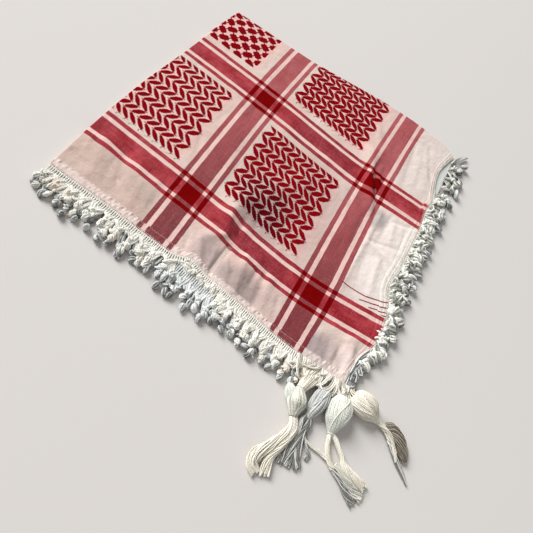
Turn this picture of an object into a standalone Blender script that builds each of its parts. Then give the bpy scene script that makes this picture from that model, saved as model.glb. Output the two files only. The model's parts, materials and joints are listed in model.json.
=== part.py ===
"""A square cotton keffiyeh, folded in quarters and laid on a table.

The cloth is folded twice.  The first fold runs down its left side, the second along its
far side, and all four hems of the cloth lie on the near side and on the right, where the
knotted fringe and the four corner tassels hang out.  The uppermost layer is a thin wall
that turns down over both folds.  The three layers under it share one rounded solid.

Plan places are given on the folded cloth in millimetres: "across" runs to the right from
the left fold and "down" runs from the far fold towards the near hem.  Heights are above
the table.  Everything is turned into metres, +Z up, with +X across and -Y down.
"""

import math

import bmesh
import bpy
import numpy as np

MM = 0.001

# Cloth, mm
FOLDED_SIDE = 600.0  # a 1.2 m square, folded in quarters
STACK_HEIGHT = 9.0  # four layers, lying flat
WALL = 1.8  # the uppermost layer
GAP = 0.3  # between pieces that lie on each other
FRONT_HEM = 19.0  # turned hem, near side
RIGHT_HEM = 8.0  # narrow rolled selvedge, right side
HEM_STEP = 1.5  # the turning's edge
HEM_RAISE = 0.8
WAVE_REACH = 120.0  # how far a wave of an edge is felt in the cloth
FOLD_STEPS = 4  # facets round each fold
CELLS_ACROSS = 25
CELLS_DOWN = 24

# Fringe, mm
STRIP_DEPTH = 2.6
UPPER_STRIP = (0.1, 1.9)  # foot and top, above the underside of the uppermost layer
LOWER_STRIP = (1.0, 5.4)  # foot and top, above the table
ROOT_SHARE = 0.2  # of a fringe repeat, the width of one lock's root
RISE_REACH = 30.0  # how far out the hem's own rise is felt in the locks
SET_BACK_FREE = 9.0  # an upper hem set back further than this has its locks on the lower ones
SET_BACK_LIFT = 4.2  # and they are lifted by this much at the most

# Where the woven bands cross and meet the edges, once folded: (across, down)
BAND_PLACES = (0.0, 195.0, 477.0, 600.0)
CROSSINGS = {
    "far fold": ((15, 39), (187, 16), (470, -32), (599, -23)),
    "far band": ((4, 203), (184, 201), (463, 205), (594, 196)),
    "near band": ((-10, 488), (191, 495), (469, 513), (609, 496)),
    "near hem": ((-8, 606), (195, 608), (469, 621), (594, 618)),
}

# How far each edge stands out beyond those points: (place along the edge, outward)
EDGE_WAVES = {
    "left fold": ((0, 0), (100, 2), (195, 0), (330, 2), (477, 0), (600, 0)),
    "far fold": ((0, 0), (120, -3), (230, -4), (340, -3), (440, 0), (510, 6), (560, 11),
                 (590, 4), (600, 0)),
    "right hem": ((0, 0), (30, -9), (62, -16), (95, -13), (125, -4), (149, 2), (172, -1), (225, 2),
                  (270, -2), (320, -7), (394, -15), (414, -6), (439, 0), (509, 4), (545, -3),
                  (576, -5), (600, 0)),
    "near hem": ((0, 0), (100, -1), (195, 0), (240, -4), (266, -15), (292, -10), (340, -8),
                 (410, -5), (440, -2), (480, 0), (600, 0)),
    "hidden right hem": ((0, 3), (195, 7), (336, -2), (477, -6), (545, 0), (600, 7)),
    "hidden near hem": ((0, 3), (195, 4), (300, 6), (400, 2), (477, 1), (600, 3)),
}

# Largest folds of the uppermost layer: start, end, rise at either end (a trough's is below
# zero), half width
FOLDS = (
    ("crest at the far crossing", (428, 138), (480, 262), 6.5, 5.5, 17),
    ("trough at the far crossing", (462, 150), (498, 268), -2.5, -2.5, 12),
    ("crest through the middle block", (345, 318), (272, 440), 4.0, 5.5, 30),
    ("crest to the near hem", (274, 436), (256, 612), 5.5, 1.0, 20),
    ("valley through the middle block", (392, 372), (325, 500), -1.0, -1.4, 24),
    ("valley to the near hem", (322, 500), (298, 612), -1.2, -0.8, 14),
    ("crest beside the valley", (352, 520), (338, 612), 3.0, 0.8, 16),
    ("swell in the left border", (10, 520), (150, 548), 3.0, 2.0, 18),
    ("crease across the right border", (508, 345), (588, 350), 2.0, 1.2, 10),
    ("crease down the right border", (508, 252), (506, 462), 1.8, 1.2, 11),
    ("swell in the near right corner", (528, 612), (574, 540), 1.6, 3.5, 14),
    ("swell in the far right corner", (548, 40), (566, 128), 2.0, 2.6, 16),
    ("swell of the right band", (452, 290), (462, 372), 2.6, 1.8, 15),
    ("swell of the left band", (186, 300), (196, 420), 1.6, 1.2, 26),
    ("swell by the far fold", (250, 40), (330, 60), 1.6, 2.2, 26),
    ("swell of the left block", (50, 300), (110, 360), 1.4, 2.0, 30),
)

# Locks of the fringe: place, out from the strip, share of the way to the knot, height, width,
# thickness
FRONT_UPPER_LONG = (
    ("bend", 14, 0.45, 7.9, 4.6, 2.8),
    ("knot", 30, 1.00, 6.6, 6.0, 4.6),
    ("neck", 34, 1.00, 5.6, 3.4, 3.2),
    ("bobble", 41, 1.05, 4.9, 8.6, 7.4),
    ("tip", 47, 1.00, 4.3, 4.0, 3.4),
)
FRONT_UPPER_SHORT = (
    ("bend", 12, 0.30, 8.0, 4.2, 2.6),
    ("end", 26, 0.55, 6.8, 3.4, 2.8),
)
RIGHT_UPPER_LONG = (
    ("bend", 9, 0.50, 8.4, 4.4, 2.8),
    ("knot", 18, 1.00, 8.4, 5.6, 4.2),
    ("bobble", 26, 1.00, 8.0, 7.4, 6.8),
    ("tip", 30, 1.00, 7.2, 3.6, 3.2),
)
RIGHT_UPPER_SHORT = (
    ("bend", 8, 0.30, 8.4, 4.0, 2.6),
    ("end", 16, 0.50, 8.2, 3.2, 2.6),
)
LOWER_LONG = (
    ("bend", 14, 0.45, 2.4, 4.4, 2.8),
    ("knot", 31, 1.00, 2.7, 5.6, 3.8),
    ("neck", 35, 1.00, 2.4, 3.2, 2.8),
    ("bobble", 42, 1.00, 4.3, 7.6, 7.2),
    ("tip", 50, 1.00, 3.2, 3.8, 3.2),
)
LOWER_SHORT = (
    ("bend", 12, 0.30, 2.4, 4.0, 2.8),
    ("end", 26, 0.55, 2.4, 3.4, 2.8),
)

# How far the right fringe reaches, (down, share), and leans towards the far fold, (down, degrees)
RIGHT_REACH = ((-20, 0.85), (60, 1.0), (250, 0.95), (380, 0.85), (480, 0.7), (600, 0.55))
RIGHT_LEAN = ((-20, 38), (20, 16), (70, 0), (600, 0))
NO_REACH_CHANGE = ((-50, 1.0), (650, 1.0))
NO_LEAN = ((-50, 0), (650, 0))

# Tassels.  Head: across, down, height of the middle, width, thickness.  Tail: the same and
# how far its two halves part
TASSEL_COLUMNS = 4
TASSEL_ROWS = 3
STRAND_SHARE = 0.8  # of its place in the bundle, the width of one strand
ROOT_INSET = 0.2
TASSELS = {
    "tassel_left": {
        "head": ((542, 622.2, 4.6, 26, 5), (541.5, 644, 6.5, 20, 8), (536, 662, 9, 15, 11),
                 (532, 676, 13, 29, 23), (531, 688, 14, 33, 26), (532.5, 700, 12, 28, 21),
                 (537, 711, 8, 15, 12), (541, 719, 7, 12, 10)),
        "tail": ((543, 736, 7, 15, 8, 0), (540, 754, 6.5, 18, 7.5, 0), (531, 775, 6, 24, 7, 1),
                 (527, 795, 5.5, 30, 6, 2), (530, 821, 4, 36, 4.5, 2)),
    },
    "tassel_back": {
        "head": ((574, 622.6, 4.4, 9, 5), (572, 640, 8, 15, 11), (565, 660, 12.5, 25, 23),
                 (563.5, 673, 13.5, 27, 25), (562, 686, 11, 22, 19), (561, 695, 7.5, 12, 10),
                 (561, 700, 6.5, 11, 9)),
        "tail": ((562, 716, 6.5, 13, 8, 0), (566, 740, 6, 17, 7.5, 1), (569, 762, 5, 24, 6, 2),
                 (571, 784, 4, 30, 4.5, 3)),
    },
    "tassel_middle": {
        "head": ((597, 621.8, 4.6, 7, 5), (599, 636, 9, 18, 12), (600, 648, 15, 36, 27),
                 (600, 664, 17.5, 43, 33), (601.5, 680, 15.5, 36, 28), (604, 693, 11, 17, 15),
                 (605.5, 700, 8, 11, 9)),
        "tail": ((613, 714, 7, 14, 8, 4), (629, 727, 7, 15, 8, 10), (647, 737, 7, 16, 8, 6),
                 (666, 745, 6.5, 20, 7.5, 1), (690, 760, 4.5, 29, 5, 2)),
    },
    "tassel_right": {
        "head": ((603.8, 617.0, 4.6, 6, 5), (610, 624, 8, 15, 11), (622, 627.5, 15, 36, 28),
                 (637, 630, 17.5, 43, 33), (651, 632.5, 15.5, 36, 28), (662, 634.5, 11, 17, 15),
                 (668, 636, 9, 11, 10)),
        "tail": ((688, 639.5, 8.5, 14, 9, 0), (706, 643, 8, 17, 9, 0), (725, 650, 7.5, 19, 8.5, 1),
                 (739, 661, 7, 19, 8, 1), (750, 679, 6, 18, 7, 0), (759, 698, 4.5, 17, 5, 0)),
    },
}

# Colours, linear
COTTON_CREAM = (0.78, 0.68, 0.60)
COTTON_WHITE = (0.74, 0.73, 0.66)
FRINGE_WHITE = (0.70, 0.72, 0.64)
TASSEL_CREAM = (0.80, 0.72, 0.58)


class Shell:
    """Points in millimetres and the faces between them, gathered until they close a solid."""

    def __init__(self):
        self.points = []
        self.faces = []

    def point(self, across, down, height):
        self.points.append((across * MM, -down * MM, height * MM))
        return len(self.points) - 1

    def face(self, *corners):
        self.faces.append(corners)

    def band(self, lower, upper, closed=True):
        """Join two rows of points with quads."""
        count = len(lower)
        for k in range(count if closed else count - 1):
            after = (k + 1) % count
            self.face(lower[k], lower[after], upper[after], upper[k])


def smooth(table, place):
    """Read a table of (place, value, ...) rows along a smooth curve through its rows."""
    places = np.array([row[0] for row in table], float)
    values = np.array([row[1:] for row in table], float)
    place = float(np.clip(place, places[0], places[-1]))
    slopes = np.gradient(values, places, axis=0)
    k = int(np.clip(np.searchsorted(places, place) - 1, 0, len(places) - 2))
    span = places[k + 1] - places[k]
    t = (place - places[k]) / span
    rise = t * t * (3 - 2 * t)
    lead = t * (1 - t) ** 2 * span
    lag = t * t * (t - 1) * span
    return values[k] * (1 - rise) + values[k + 1] * rise + slopes[k] * lead + slopes[k + 1] * lag


def wave(edge, place):
    return smooth(EDGE_WAVES[edge], place)[0]


def fade(distance):
    return max(0.0, 1.0 - distance / WAVE_REACH) ** 2


def lay(across, down, right="right hem", near="near hem"):
    """Plan place of a point of the folded cloth, from its place on the flat quarter."""
    rows = []
    for place, points in zip(BAND_PLACES, CROSSINGS.values()):
        row = [(band, *point) for band, point in zip(BAND_PLACES, points)]
        rows.append((place, *smooth(row, across)))
    x, y = smooth(rows, down)
    x -= wave("left fold", down) * fade(across)
    x += wave(right, down) * fade(FOLDED_SIDE - across)
    y -= wave("far fold", across) * fade(down)
    y += wave(near, across) * fade(FOLDED_SIDE - down)
    return np.array([x, y])


def cloth_height(plan):
    """Height of the uppermost layer's face: the flat stack and the folds that rise from it."""
    height = STACK_HEIGHT
    for _, start, end, start_rise, end_rise, half_width in FOLDS:
        start, end = np.array(start, float), np.array(end, float)
        run = end - start
        along = float(np.clip(np.dot(plan - start, run) / np.dot(run, run), 0.0, 1.0))
        distance = np.linalg.norm(plan - start - run * along)
        rise = start_rise + (end_rise - start_rise) * along
        height += rise * math.exp(-((distance / half_width) ** 2))
    return height


def grid_lines(cells, hem):
    """Places of the grid's lines: even up to the hem's turning, then its step and the edge."""
    turning = FOLDED_SIDE - hem
    return [*np.linspace(0, turning, cells + 1), turning + HEM_STEP, FOLDED_SIDE]


ACROSS = grid_lines(CELLS_ACROSS, RIGHT_HEM)
DOWN = grid_lines(CELLS_DOWN, FRONT_HEM)
LAST_ACROSS = len(ACROSS) - 1
LAST_DOWN = len(DOWN) - 1


def outward(before, after, turn):
    """Unit direction square to an edge, to the right of travel where turn is 1, else to its left."""
    run = (after - before) / np.linalg.norm(after - before)
    return np.array([-run[1], run[0]]) * turn


def fold_direction(i, j):
    """Outward directions of the left fold and of the far fold at a point of the grid."""
    low, high = max(j - 1, 0), min(j + 1, LAST_DOWN)
    left = outward(lay(0, DOWN[low]), lay(0, DOWN[high]), 1)
    low, high = max(i - 1, 0), min(i + 1, LAST_ACROSS)
    far = outward(lay(ACROSS[low], 0), lay(ACROSS[high], 0), -1)
    return left, far


def grid_plan(i, j):
    """Plan place of a grid point.  On a fold it is the middle of the turn, half its height inside."""
    plan = lay(ACROSS[i], DOWN[j])
    height = cloth_height(plan)
    left, far = fold_direction(i, j)
    if i == 0:
        plan = plan - left * height / 4
    if j == 0:
        plan = plan - far * height / 2
    return plan


PLANS = {(i, j): grid_plan(i, j) for i in range(LAST_ACROSS + 1) for j in range(LAST_DOWN + 1)}
HEIGHTS = {key: cloth_height(plan) for key, plan in PLANS.items()}


def wall_points(i, j):
    """Outer and inner point of the uppermost layer.  Indices below zero go round the folds."""
    key = max(i, 0), max(j, 0)
    plan, height = PLANS[key], HEIGHTS[key]
    left_ring, far_ring = max(-i, 0), max(-j, 0)
    if left_ring == 0 and far_ring == 0:
        hemmed = i > LAST_ACROSS - 2 or j > LAST_DOWN - 2
        return (*plan, height + HEM_RAISE * hemmed), (*plan, height - WALL)
    if left_ring >= far_ring:
        share = 0.5 * far_ring / left_ring
    else:
        share = 1.0 - 0.5 * left_ring / far_ring
    left, far = fold_direction(*key)
    direction = left * math.cos(share * math.pi / 2) + far * math.sin(share * math.pi / 2)
    direction = direction / np.linalg.norm(direction)
    radius = height * (1 + share) / 4
    angle = math.pi * (0.5 - max(left_ring, far_ring) / FOLD_STEPS)
    points = []
    for r in (radius, radius - WALL):
        place = plan + direction * r * math.cos(angle)
        points.append((*place, height - radius + r * math.sin(angle)))
    return points


def make_top_layer():
    shell = Shell()
    outer, inner = {}, {}
    columns = range(-FOLD_STEPS, LAST_ACROSS + 1)
    rows = range(-FOLD_STEPS, LAST_DOWN + 1)
    for i in columns:
        for j in rows:
            out_point, in_point = wall_points(i, j)
            outer[i, j] = shell.point(*out_point)
            inner[i, j] = shell.point(*in_point)
    for i in columns[:-1]:
        for j in rows[:-1]:
            for side in (outer, inner):
                shell.face(side[i, j], side[i + 1, j], side[i + 1, j + 1], side[i, j + 1])
    rim = [(i, rows[0]) for i in columns[:-1]] + [(columns[-1], j) for j in rows[:-1]]
    rim += [(i, rows[-1]) for i in reversed(columns[1:])] + [(columns[0], j) for j in reversed(rows[1:])]
    shell.band([outer[key] for key in rim], [inner[key] for key in rim])
    return finish("top_layer", shell, COTTON_CREAM)


def left_fold_side(height):
    """Side of the hidden layers at the left fold: (outward, height) from the floor up."""
    radius = (height / 2 - GAP) / 2
    inside = -(height / 4 + GAP)
    side = []
    for k in range(5):
        angle = math.pi * (k / 5 - 0.5)
        side.append((radius * (math.cos(angle) - 1), radius * (1 + math.sin(angle))))
    return side + [(inside, 2 * radius), (inside, height - WALL - GAP)]


def far_corner_side(height):
    """Levels of the hidden layers where the two folds meet, clear of both turns of the wall."""
    low, high = WALL + GAP, height / 2 - GAP
    return [0.0, *np.linspace(low, high, 5), height - WALL - GAP]


def far_fold_side(height):
    """Side of the hidden layers inside the far fold, which the uppermost layer wraps."""
    middle = -(height / 2 + GAP)
    radius = height / 2 - WALL - GAP
    side = [(middle, 0.0)]
    for k in range(6):
        angle = math.pi * (k / 5 - 0.5)
        side.append((middle + radius * math.cos(angle), height / 2 + radius * math.sin(angle)))
    return side


def hem_side(height):
    """Side of the hidden layers at a hem: three layers, one over the other, set back unevenly."""
    thin = 0.6
    step = (height - WALL - GAP - thin) / 6
    set_back = (-2.6, -1.2, -4.6, -3.2, -4.2, 0.0, -1.4)
    return [(out, k * step) for k, out in enumerate(set_back)]


def hidden_hem(i, j):
    """Plan place of the hidden layers' hem at a point of the outline."""
    return lay(ACROSS[i], DOWN[j], "hidden right hem", "hidden near hem")


def hidden_side(i, j):
    """The points up the side of the hidden layers at one point of their outline."""
    left, far = fold_direction(i, j)
    down_fold, along_fold = np.array([left[1], -left[0]]), np.array([-far[1], far[0]])
    right, near = np.array([1.0, 0.0]), np.array([0.0, 1.0])
    edge, height = lay(ACROSS[i], DOWN[j]), HEIGHTS[i, j]
    set_back = hidden_hem(i, j) - edge
    if i == 0 and j == 0:
        corner = PLANS[0, 0] - (left + far) * GAP
        return [(*corner, level) for level in far_corner_side(height)]
    if i == 0:
        main, direction, across = left_fold_side(height), left, down_fold * np.sign(down_fold[1])
        crossing = j == LAST_DOWN
        edge = edge + across * set_back[1] * crossing
    elif j == 0:
        main, direction, across = far_fold_side(height), far, along_fold * np.sign(along_fold[0])
        crossing = i == LAST_ACROSS
        edge = edge + across * set_back[0] * crossing
    else:
        edge = edge + set_back
        height = min(height, cloth_height(edge))
        main = hem_side(height)
        direction, across = (right, near) if i == LAST_ACROSS else (near, right)
        crossing = i == LAST_ACROSS and j == LAST_DOWN
    points = []
    for (out, z), (cross_out, _) in zip(main, hem_side(height)):
        place = edge + direction * out + across * cross_out * crossing
        points.append((*place, z))
    return points


def make_hidden_layers():
    """The three layers under the uppermost one, as one solid, flat where it lies on the table."""
    shell = Shell()
    outline = [(i, 0) for i in range(LAST_ACROSS)] + [(LAST_ACROSS, j) for j in range(LAST_DOWN)]
    outline += [(i, LAST_DOWN) for i in range(LAST_ACROSS, 0, -1)]
    outline += [(0, j) for j in range(LAST_DOWN, 0, -1)]
    sides = [[shell.point(*point) for point in hidden_side(i, j)] for i, j in outline]
    levels = list(zip(*sides))
    for lower, upper in zip(levels[:-1], levels[1:]):
        shell.band(lower, upper)
    shell.face(*levels[0])
    top = dict(zip(outline, levels[-1]))
    for i in range(1, LAST_ACROSS):
        for j in range(1, LAST_DOWN):
            top[i, j] = shell.point(*PLANS[i, j], HEIGHTS[i, j] - WALL - GAP)
    for i in range(LAST_ACROSS):
        for j in range(LAST_DOWN):
            shell.face(top[i, j], top[i + 1, j], top[i + 1, j + 1], top[i, j + 1])
    return finish("hidden_layers", shell, COTTON_WHITE)


def hem_frame(points):
    """Outward directions along a hem, lengthened at its corners so that an offset stays parallel."""
    points = [np.array(point) for point in points]
    runs = [outward(a, b, 1) for a, b in zip(points[:-1], points[1:])]
    directions = []
    for k in range(len(points)):
        before, after = runs[max(k - 1, 0)], runs[min(k, len(runs) - 1)]
        middle = (before + after) / np.linalg.norm(before + after)
        directions.append(middle / np.dot(middle, after))
    return points, directions


def grow_lock(shell, root, sections):
    """A four-sided lock from its root: (plan, side direction, height, width, thickness) each."""
    ring = root
    for plan, side, height, width, thickness in sections:
        after = []
        for across_sign, up_sign in ((-1, -1), (1, -1), (1, 1), (-1, 1)):
            place = plan + side * across_sign * width / 2
            after.append(shell.point(*place, height + up_sign * thickness / 2))
        shell.band(ring, after)
        ring = after
    shell.face(*ring)


def make_fringe(name, hem, heights, lifts, strip, locks, staggered, lean, reach, seed):
    """A narrow strip along a hem, with a pair of locks in each repeat.

    The two locks of a pair part from one root, one long and one short.  The long one runs to
    the knot that it shares with its neighbour's short one and ends in a bobble.  On a
    staggered fringe the roots lie at the ends of each repeat instead of in its middle.
    """
    chance = np.random.default_rng(seed)
    shell = Shell()
    points, directions = hem_frame(hem)
    if staggered:
        shares = (0, ROOT_SHARE, 1 - ROOT_SHARE)
        long_share, short_share = 0, 1 - ROOT_SHARE
    else:
        shares = (0, 0.5 - ROOT_SHARE, 0.5, 0.5 + ROOT_SHARE)
        long_share, short_share = 0.5, 0.5 - ROOT_SHARE
    stations = [(k, share) for k in range(len(points) - 1) for share in shares]
    stations.append((len(points) - 2, 1))
    rings = []
    for k, share in stations:
        plan = points[k] * (1 - share) + points[k + 1] * share
        out = directions[k] * (1 - share) + directions[k + 1] * share
        base = heights[k] * (1 - share) + heights[k + 1] * share
        corners = []
        for depth, level in ((0, 0), (1, 0), (1, 1), (0, 1)):
            place = plan + out * (GAP + STRIP_DEPTH * depth)
            corners.append(shell.point(*place, base + strip[level]))
        rings.append(corners)
    shell.face(*rings[0])
    shell.face(*rings[-1])
    for (k, share), here, after in zip(stations[:-1], rings[:-1], rings[1:]):
        for low, high in ((0, 1), (2, 3), (3, 0)):
            shell.face(here[low], after[low], after[high], here[high])
        root = (here[1], after[1], after[2], here[2])
        if share not in (long_share, short_share):
            shell.face(*root)
            continue
        long_lock = share == long_share
        middle = np.mean([shell.points[corner] for corner in root], axis=0) / MM
        start = np.array([middle[0], -middle[1]])
        run = points[k + 1] - points[k]
        half_repeat = run / 2 - run * ROOT_SHARE / 2
        way = 1 if long_lock else -1
        tilt = math.radians(smooth(lean, start[1])[0])
        straight = outward(points[0], points[-1], 1)
        ahead = np.array([straight[0] * math.cos(tilt) + straight[1] * math.sin(tilt),
                          straight[1] * math.cos(tilt) - straight[0] * math.sin(tilt)])
        stretch = smooth(reach, start[1])[0] * chance.uniform(0.95, 1.05)
        sway = chance.uniform(-0.2, 0.2)
        side = run / np.linalg.norm(run)
        rise = heights[k] - min(heights)
        sections = []
        for _, out, share_of_way, height, width, thickness in locks[0 if long_lock else 1]:
            place = start + ahead * out * stretch + half_repeat * way * share_of_way
            place = place + side * sway * out / 20
            lift = rise * max(0.0, 1 - out / RISE_REACH) + max(lifts[k], lifts[k + 1])
            sections.append((place, side, height + lift, width, thickness))
        grow_lock(shell, root, sections)
    return finish(name, shell, FRINGE_WHITE)


def bundle_places():
    """Places in a tassel's round section, from a grid of squares pressed into a disc."""
    places = {}
    for p in range(TASSEL_COLUMNS + 1):
        for q in range(TASSEL_ROWS + 1):
            x, y = 2 * p / TASSEL_COLUMNS - 1, 2 * q / TASSEL_ROWS - 1
            places[p, q] = x * math.sqrt(1 - y * y / 2), y * math.sqrt(1 - x * x / 2)
    return places


def make_tassel(name, head, tail, seed):
    """A threaded head, from its neck at the cloth's corner to its wrist, and twelve loose strands."""
    chance = np.random.default_rng(seed)
    shell = Shell()
    sections = [(*row, 0) for row in head] + list(tail)
    plans = [np.array(row[:2], float) for row in sections]
    sides = []
    for k in range(len(plans)):
        before, after = plans[max(k - 1, 0)], plans[min(k + 1, len(plans) - 1)]
        sides.append(outward(before, after, 1))
    places = bundle_places()

    def section_point(k, x, y):
        _, _, height, width, thickness, _ = sections[k]
        plan = plans[k] + sides[k] * x * width / 2
        return shell.point(*plan, height + y * thickness / 2)

    columns, rows = TASSEL_COLUMNS, TASSEL_ROWS
    border = [(p, 0) for p in range(columns)] + [(columns, q) for q in range(rows)]
    border += [(p, rows) for p in range(columns, 0, -1)] + [(0, q) for q in range(rows, 0, -1)]
    rings = [[section_point(k, *places[key]) for key in border] for k in range(len(head))]
    for lower, upper in zip(rings[:-1], rings[1:]):
        shell.band(lower, upper)
    wrist = len(head) - 1
    neck_grid, wrist_grid = dict(zip(border, rings[0])), dict(zip(border, rings[-1]))
    for key in places:
        if key not in neck_grid:
            neck_grid[key] = section_point(0, *places[key])
            wrist_grid[key] = section_point(wrist, *places[key])
    for p in range(columns):
        for q in range(rows):
            corners = ((p, q), (p + 1, q), (p + 1, q + 1), (p, q + 1))
            shell.face(*(neck_grid[key] for key in corners))
            cell = [wrist_grid[key] for key in corners]
            middle = np.mean([places[key] for key in corners], axis=0)
            root = []
            for key in corners:
                x, y = np.array(places[key]) * (1 - ROOT_INSET) + middle * ROOT_INSET
                root.append(section_point(wrist, x, y))
            shell.band(cell, root)
            x, y = 2 * (p + 0.5) / columns - 1, 2 * (q + 0.5) / rows - 1
            length = chance.uniform(-0.25, 0.05)
            strand = []
            for k in range(wrist + 1, len(sections)):
                _, _, height, width, thickness, parting = sections[k]
                plan = plans[k] + sides[k] * (x * width / 2 + math.copysign(parting / 2, x))
                if k == len(sections) - 1:
                    plan = plan + (plans[k] - plans[k - 1]) * length
                strand.append((plan, sides[k], height + y * thickness / 2,
                               STRAND_SHARE * width / columns, STRAND_SHARE * thickness / rows))
            grow_lock(shell, root, strand)
    return finish(name, shell, TASSEL_CREAM)


def cotton(name, colour):
    material = bpy.data.materials.new(name)
    material.use_nodes = True
    shader = material.node_tree.nodes["Principled BSDF"]
    shader.inputs["Base Color"].default_value = (*colour, 1.0)
    shader.inputs["Roughness"].default_value = 0.9
    shader.inputs["Metallic"].default_value = 0.0
    return material


def finish(name, shell, colour):
    """Turn a shell into a named object with its own material and with its faces pointing out."""
    mesh = bpy.data.meshes.new(name)
    mesh.from_pydata(shell.points, [], shell.faces)
    work = bmesh.new()
    work.from_mesh(mesh)
    bmesh.ops.recalc_face_normals(work, faces=work.faces)
    work.to_mesh(mesh)
    work.free()
    mesh.validate()
    mesh.materials.append(cotton(name + "_cotton", colour))
    thing = bpy.data.objects.new(name, mesh)
    bpy.context.scene.collection.objects.link(thing)
    return thing


def set_on_origin(things):
    """Hang every piece on one empty, placed so that the middle of their box stands on the origin."""
    corners = np.array([vertex.co for thing in things for vertex in thing.data.vertices])
    middle = (corners.min(axis=0) + corners.max(axis=0)) / 2
    holder = bpy.data.objects.new("folded_scarf", None)
    bpy.context.scene.collection.objects.link(holder)
    holder.location = (-middle[0], -middle[1], 0.0)
    for thing in things:
        thing.parent = holder


def hem_points(edge, cells, hidden):
    """Points of a hem, the height of the strip's base at each, and how far its locks are lifted."""
    points, heights, lifts = [], [], []
    for k in cells:
        i, j = (k, LAST_DOWN) if edge == "near" else (LAST_ACROSS, k)
        if hidden:
            points.append(hidden_hem(i, j))
            heights.append(0.0)
            lifts.append(0.0)
        else:
            set_back = np.linalg.norm(hidden_hem(i, j) - lay(ACROSS[i], DOWN[j]))
            points.append(PLANS[i, j])
            heights.append(HEIGHTS[i, j] - WALL)
            lifts.append(float(np.clip(set_back - SET_BACK_FREE, 0, SET_BACK_LIFT)))
    return points, heights, lifts


def make_fringes():
    """Two rows of fringe on each hemmed side: the uppermost layer's and the hidden layers'."""
    near_cells, right_cells = range(0, 22), range(23, 0, -1)
    upper_right_cells = range(23, 5, -1)
    front_upper = (FRONT_UPPER_LONG, FRONT_UPPER_SHORT)
    right_upper = (RIGHT_UPPER_LONG, RIGHT_UPPER_SHORT)
    lower = (LOWER_LONG, LOWER_SHORT)
    return [
        make_fringe("front_fringe_upper", *hem_points("near", near_cells, False), UPPER_STRIP,
                    front_upper, False, NO_LEAN, NO_REACH_CHANGE, 11),
        make_fringe("front_fringe_lower", *hem_points("near", near_cells, True), LOWER_STRIP,
                    lower, True, NO_LEAN, NO_REACH_CHANGE, 12),
        make_fringe("right_fringe_upper", *hem_points("right", upper_right_cells, False), UPPER_STRIP,
                    right_upper, False, NO_LEAN, NO_REACH_CHANGE, 13),
        make_fringe("right_fringe_lower", *hem_points("right", right_cells, True), LOWER_STRIP,
                    lower, True, RIGHT_LEAN, RIGHT_REACH, 14),
    ]


def main():
    for thing in list(bpy.data.objects):
        bpy.data.objects.remove(thing)
    things = [make_top_layer(), make_hidden_layers()]
    things += make_fringes()
    for seed, (name, form) in enumerate(TASSELS.items()):
        things.append(make_tassel(name, form["head"], form["tail"], seed))
    set_on_origin(things)


main()
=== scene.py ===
import json
import math
from functools import reduce

import bpy
import numpy as np
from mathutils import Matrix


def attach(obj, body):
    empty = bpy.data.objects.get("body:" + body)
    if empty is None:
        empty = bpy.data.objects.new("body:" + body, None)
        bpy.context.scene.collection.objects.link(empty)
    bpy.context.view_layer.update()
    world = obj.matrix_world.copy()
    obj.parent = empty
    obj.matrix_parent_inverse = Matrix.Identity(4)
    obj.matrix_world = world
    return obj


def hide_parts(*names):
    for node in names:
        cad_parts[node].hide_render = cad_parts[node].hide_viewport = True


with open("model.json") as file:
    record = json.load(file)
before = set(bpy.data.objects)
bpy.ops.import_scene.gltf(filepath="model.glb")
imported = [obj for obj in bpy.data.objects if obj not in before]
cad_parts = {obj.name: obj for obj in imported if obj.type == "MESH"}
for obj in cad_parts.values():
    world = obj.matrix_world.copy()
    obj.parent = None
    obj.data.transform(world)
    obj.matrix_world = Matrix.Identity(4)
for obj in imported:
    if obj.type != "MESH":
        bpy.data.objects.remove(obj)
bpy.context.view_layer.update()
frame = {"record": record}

mm = 0.001
seat = [m for m in frame["record"]["mounts"] if m["name"] == "underside"][0]["pos_m"]
planOrigin = (seat[0] - 0.300, seat[1] + 0.310)  # the seat lies 300 across and 310 down the folded cloth

# The folded cloth, in mm: across from the left fold, down from the far fold, height above the table
layout = {
    "side": 600.0,
    "stack": 9.0,  # how high the four layers lie
    "waveReach": 120.0,  # how far in from an edge its waves can be felt
    "bands": (0.0, 195.0, 477.0, 600.0),  # where the woven bands run
    "crossings": (  # where they cross, from the far fold to the near hem
        ((15, 39), (187, 16), (470, -32), (599, -23)),
        ((4, 203), (184, 201), (463, 205), (594, 196)),
        ((-10, 488), (191, 495), (469, 513), (609, 496)),
        ((-8, 606), (195, 608), (469, 621), (594, 618)),
    ),
    "edges": {  # how far each edge stands out beyond that: place along it, distance
        "left": ((0, 0), (100, 2), (195, 0), (330, 2), (477, 0), (600, 0)),
        "far": ((0, 0), (120, -3), (230, -4), (340, -3), (440, 0), (510, 6), (560, 11), (590, 4), (600, 0)),
        "right": ((0, 0), (30, -9), (62, -16), (95, -13), (125, -4), (149, 2), (172, -1), (225, 2), (270, -2),
                  (320, -7), (394, -15), (414, -6), (439, 0), (509, 4), (545, -3), (576, -5), (600, 0)),
        "near": ((0, 0), (100, -1), (195, 0), (240, -4), (266, -15), (292, -10), (340, -8), (410, -5),
                 (440, -2), (480, 0), (600, 0)),
        "hiddenRight": ((0, 3), (195, 7), (336, -2), (477, -6), (545, 0), (600, 7)),
        "hiddenNear": ((0, 3), (195, 4), (300, 6), (400, 2), (477, 1), (600, 3)),
    },
    # where the cut's middle lines lie beside the two folds, as the cloth is folded a little off them
    "cutAtLeft": ((0, 23), (195, 15), (477, -6), (600, -8)),
    "cutAtFar": ((0, 31), (195, 10), (477, -42), (600, -24)),
}
quarter = layout["side"]  # the folded cloth is a quarter of the cut

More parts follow.
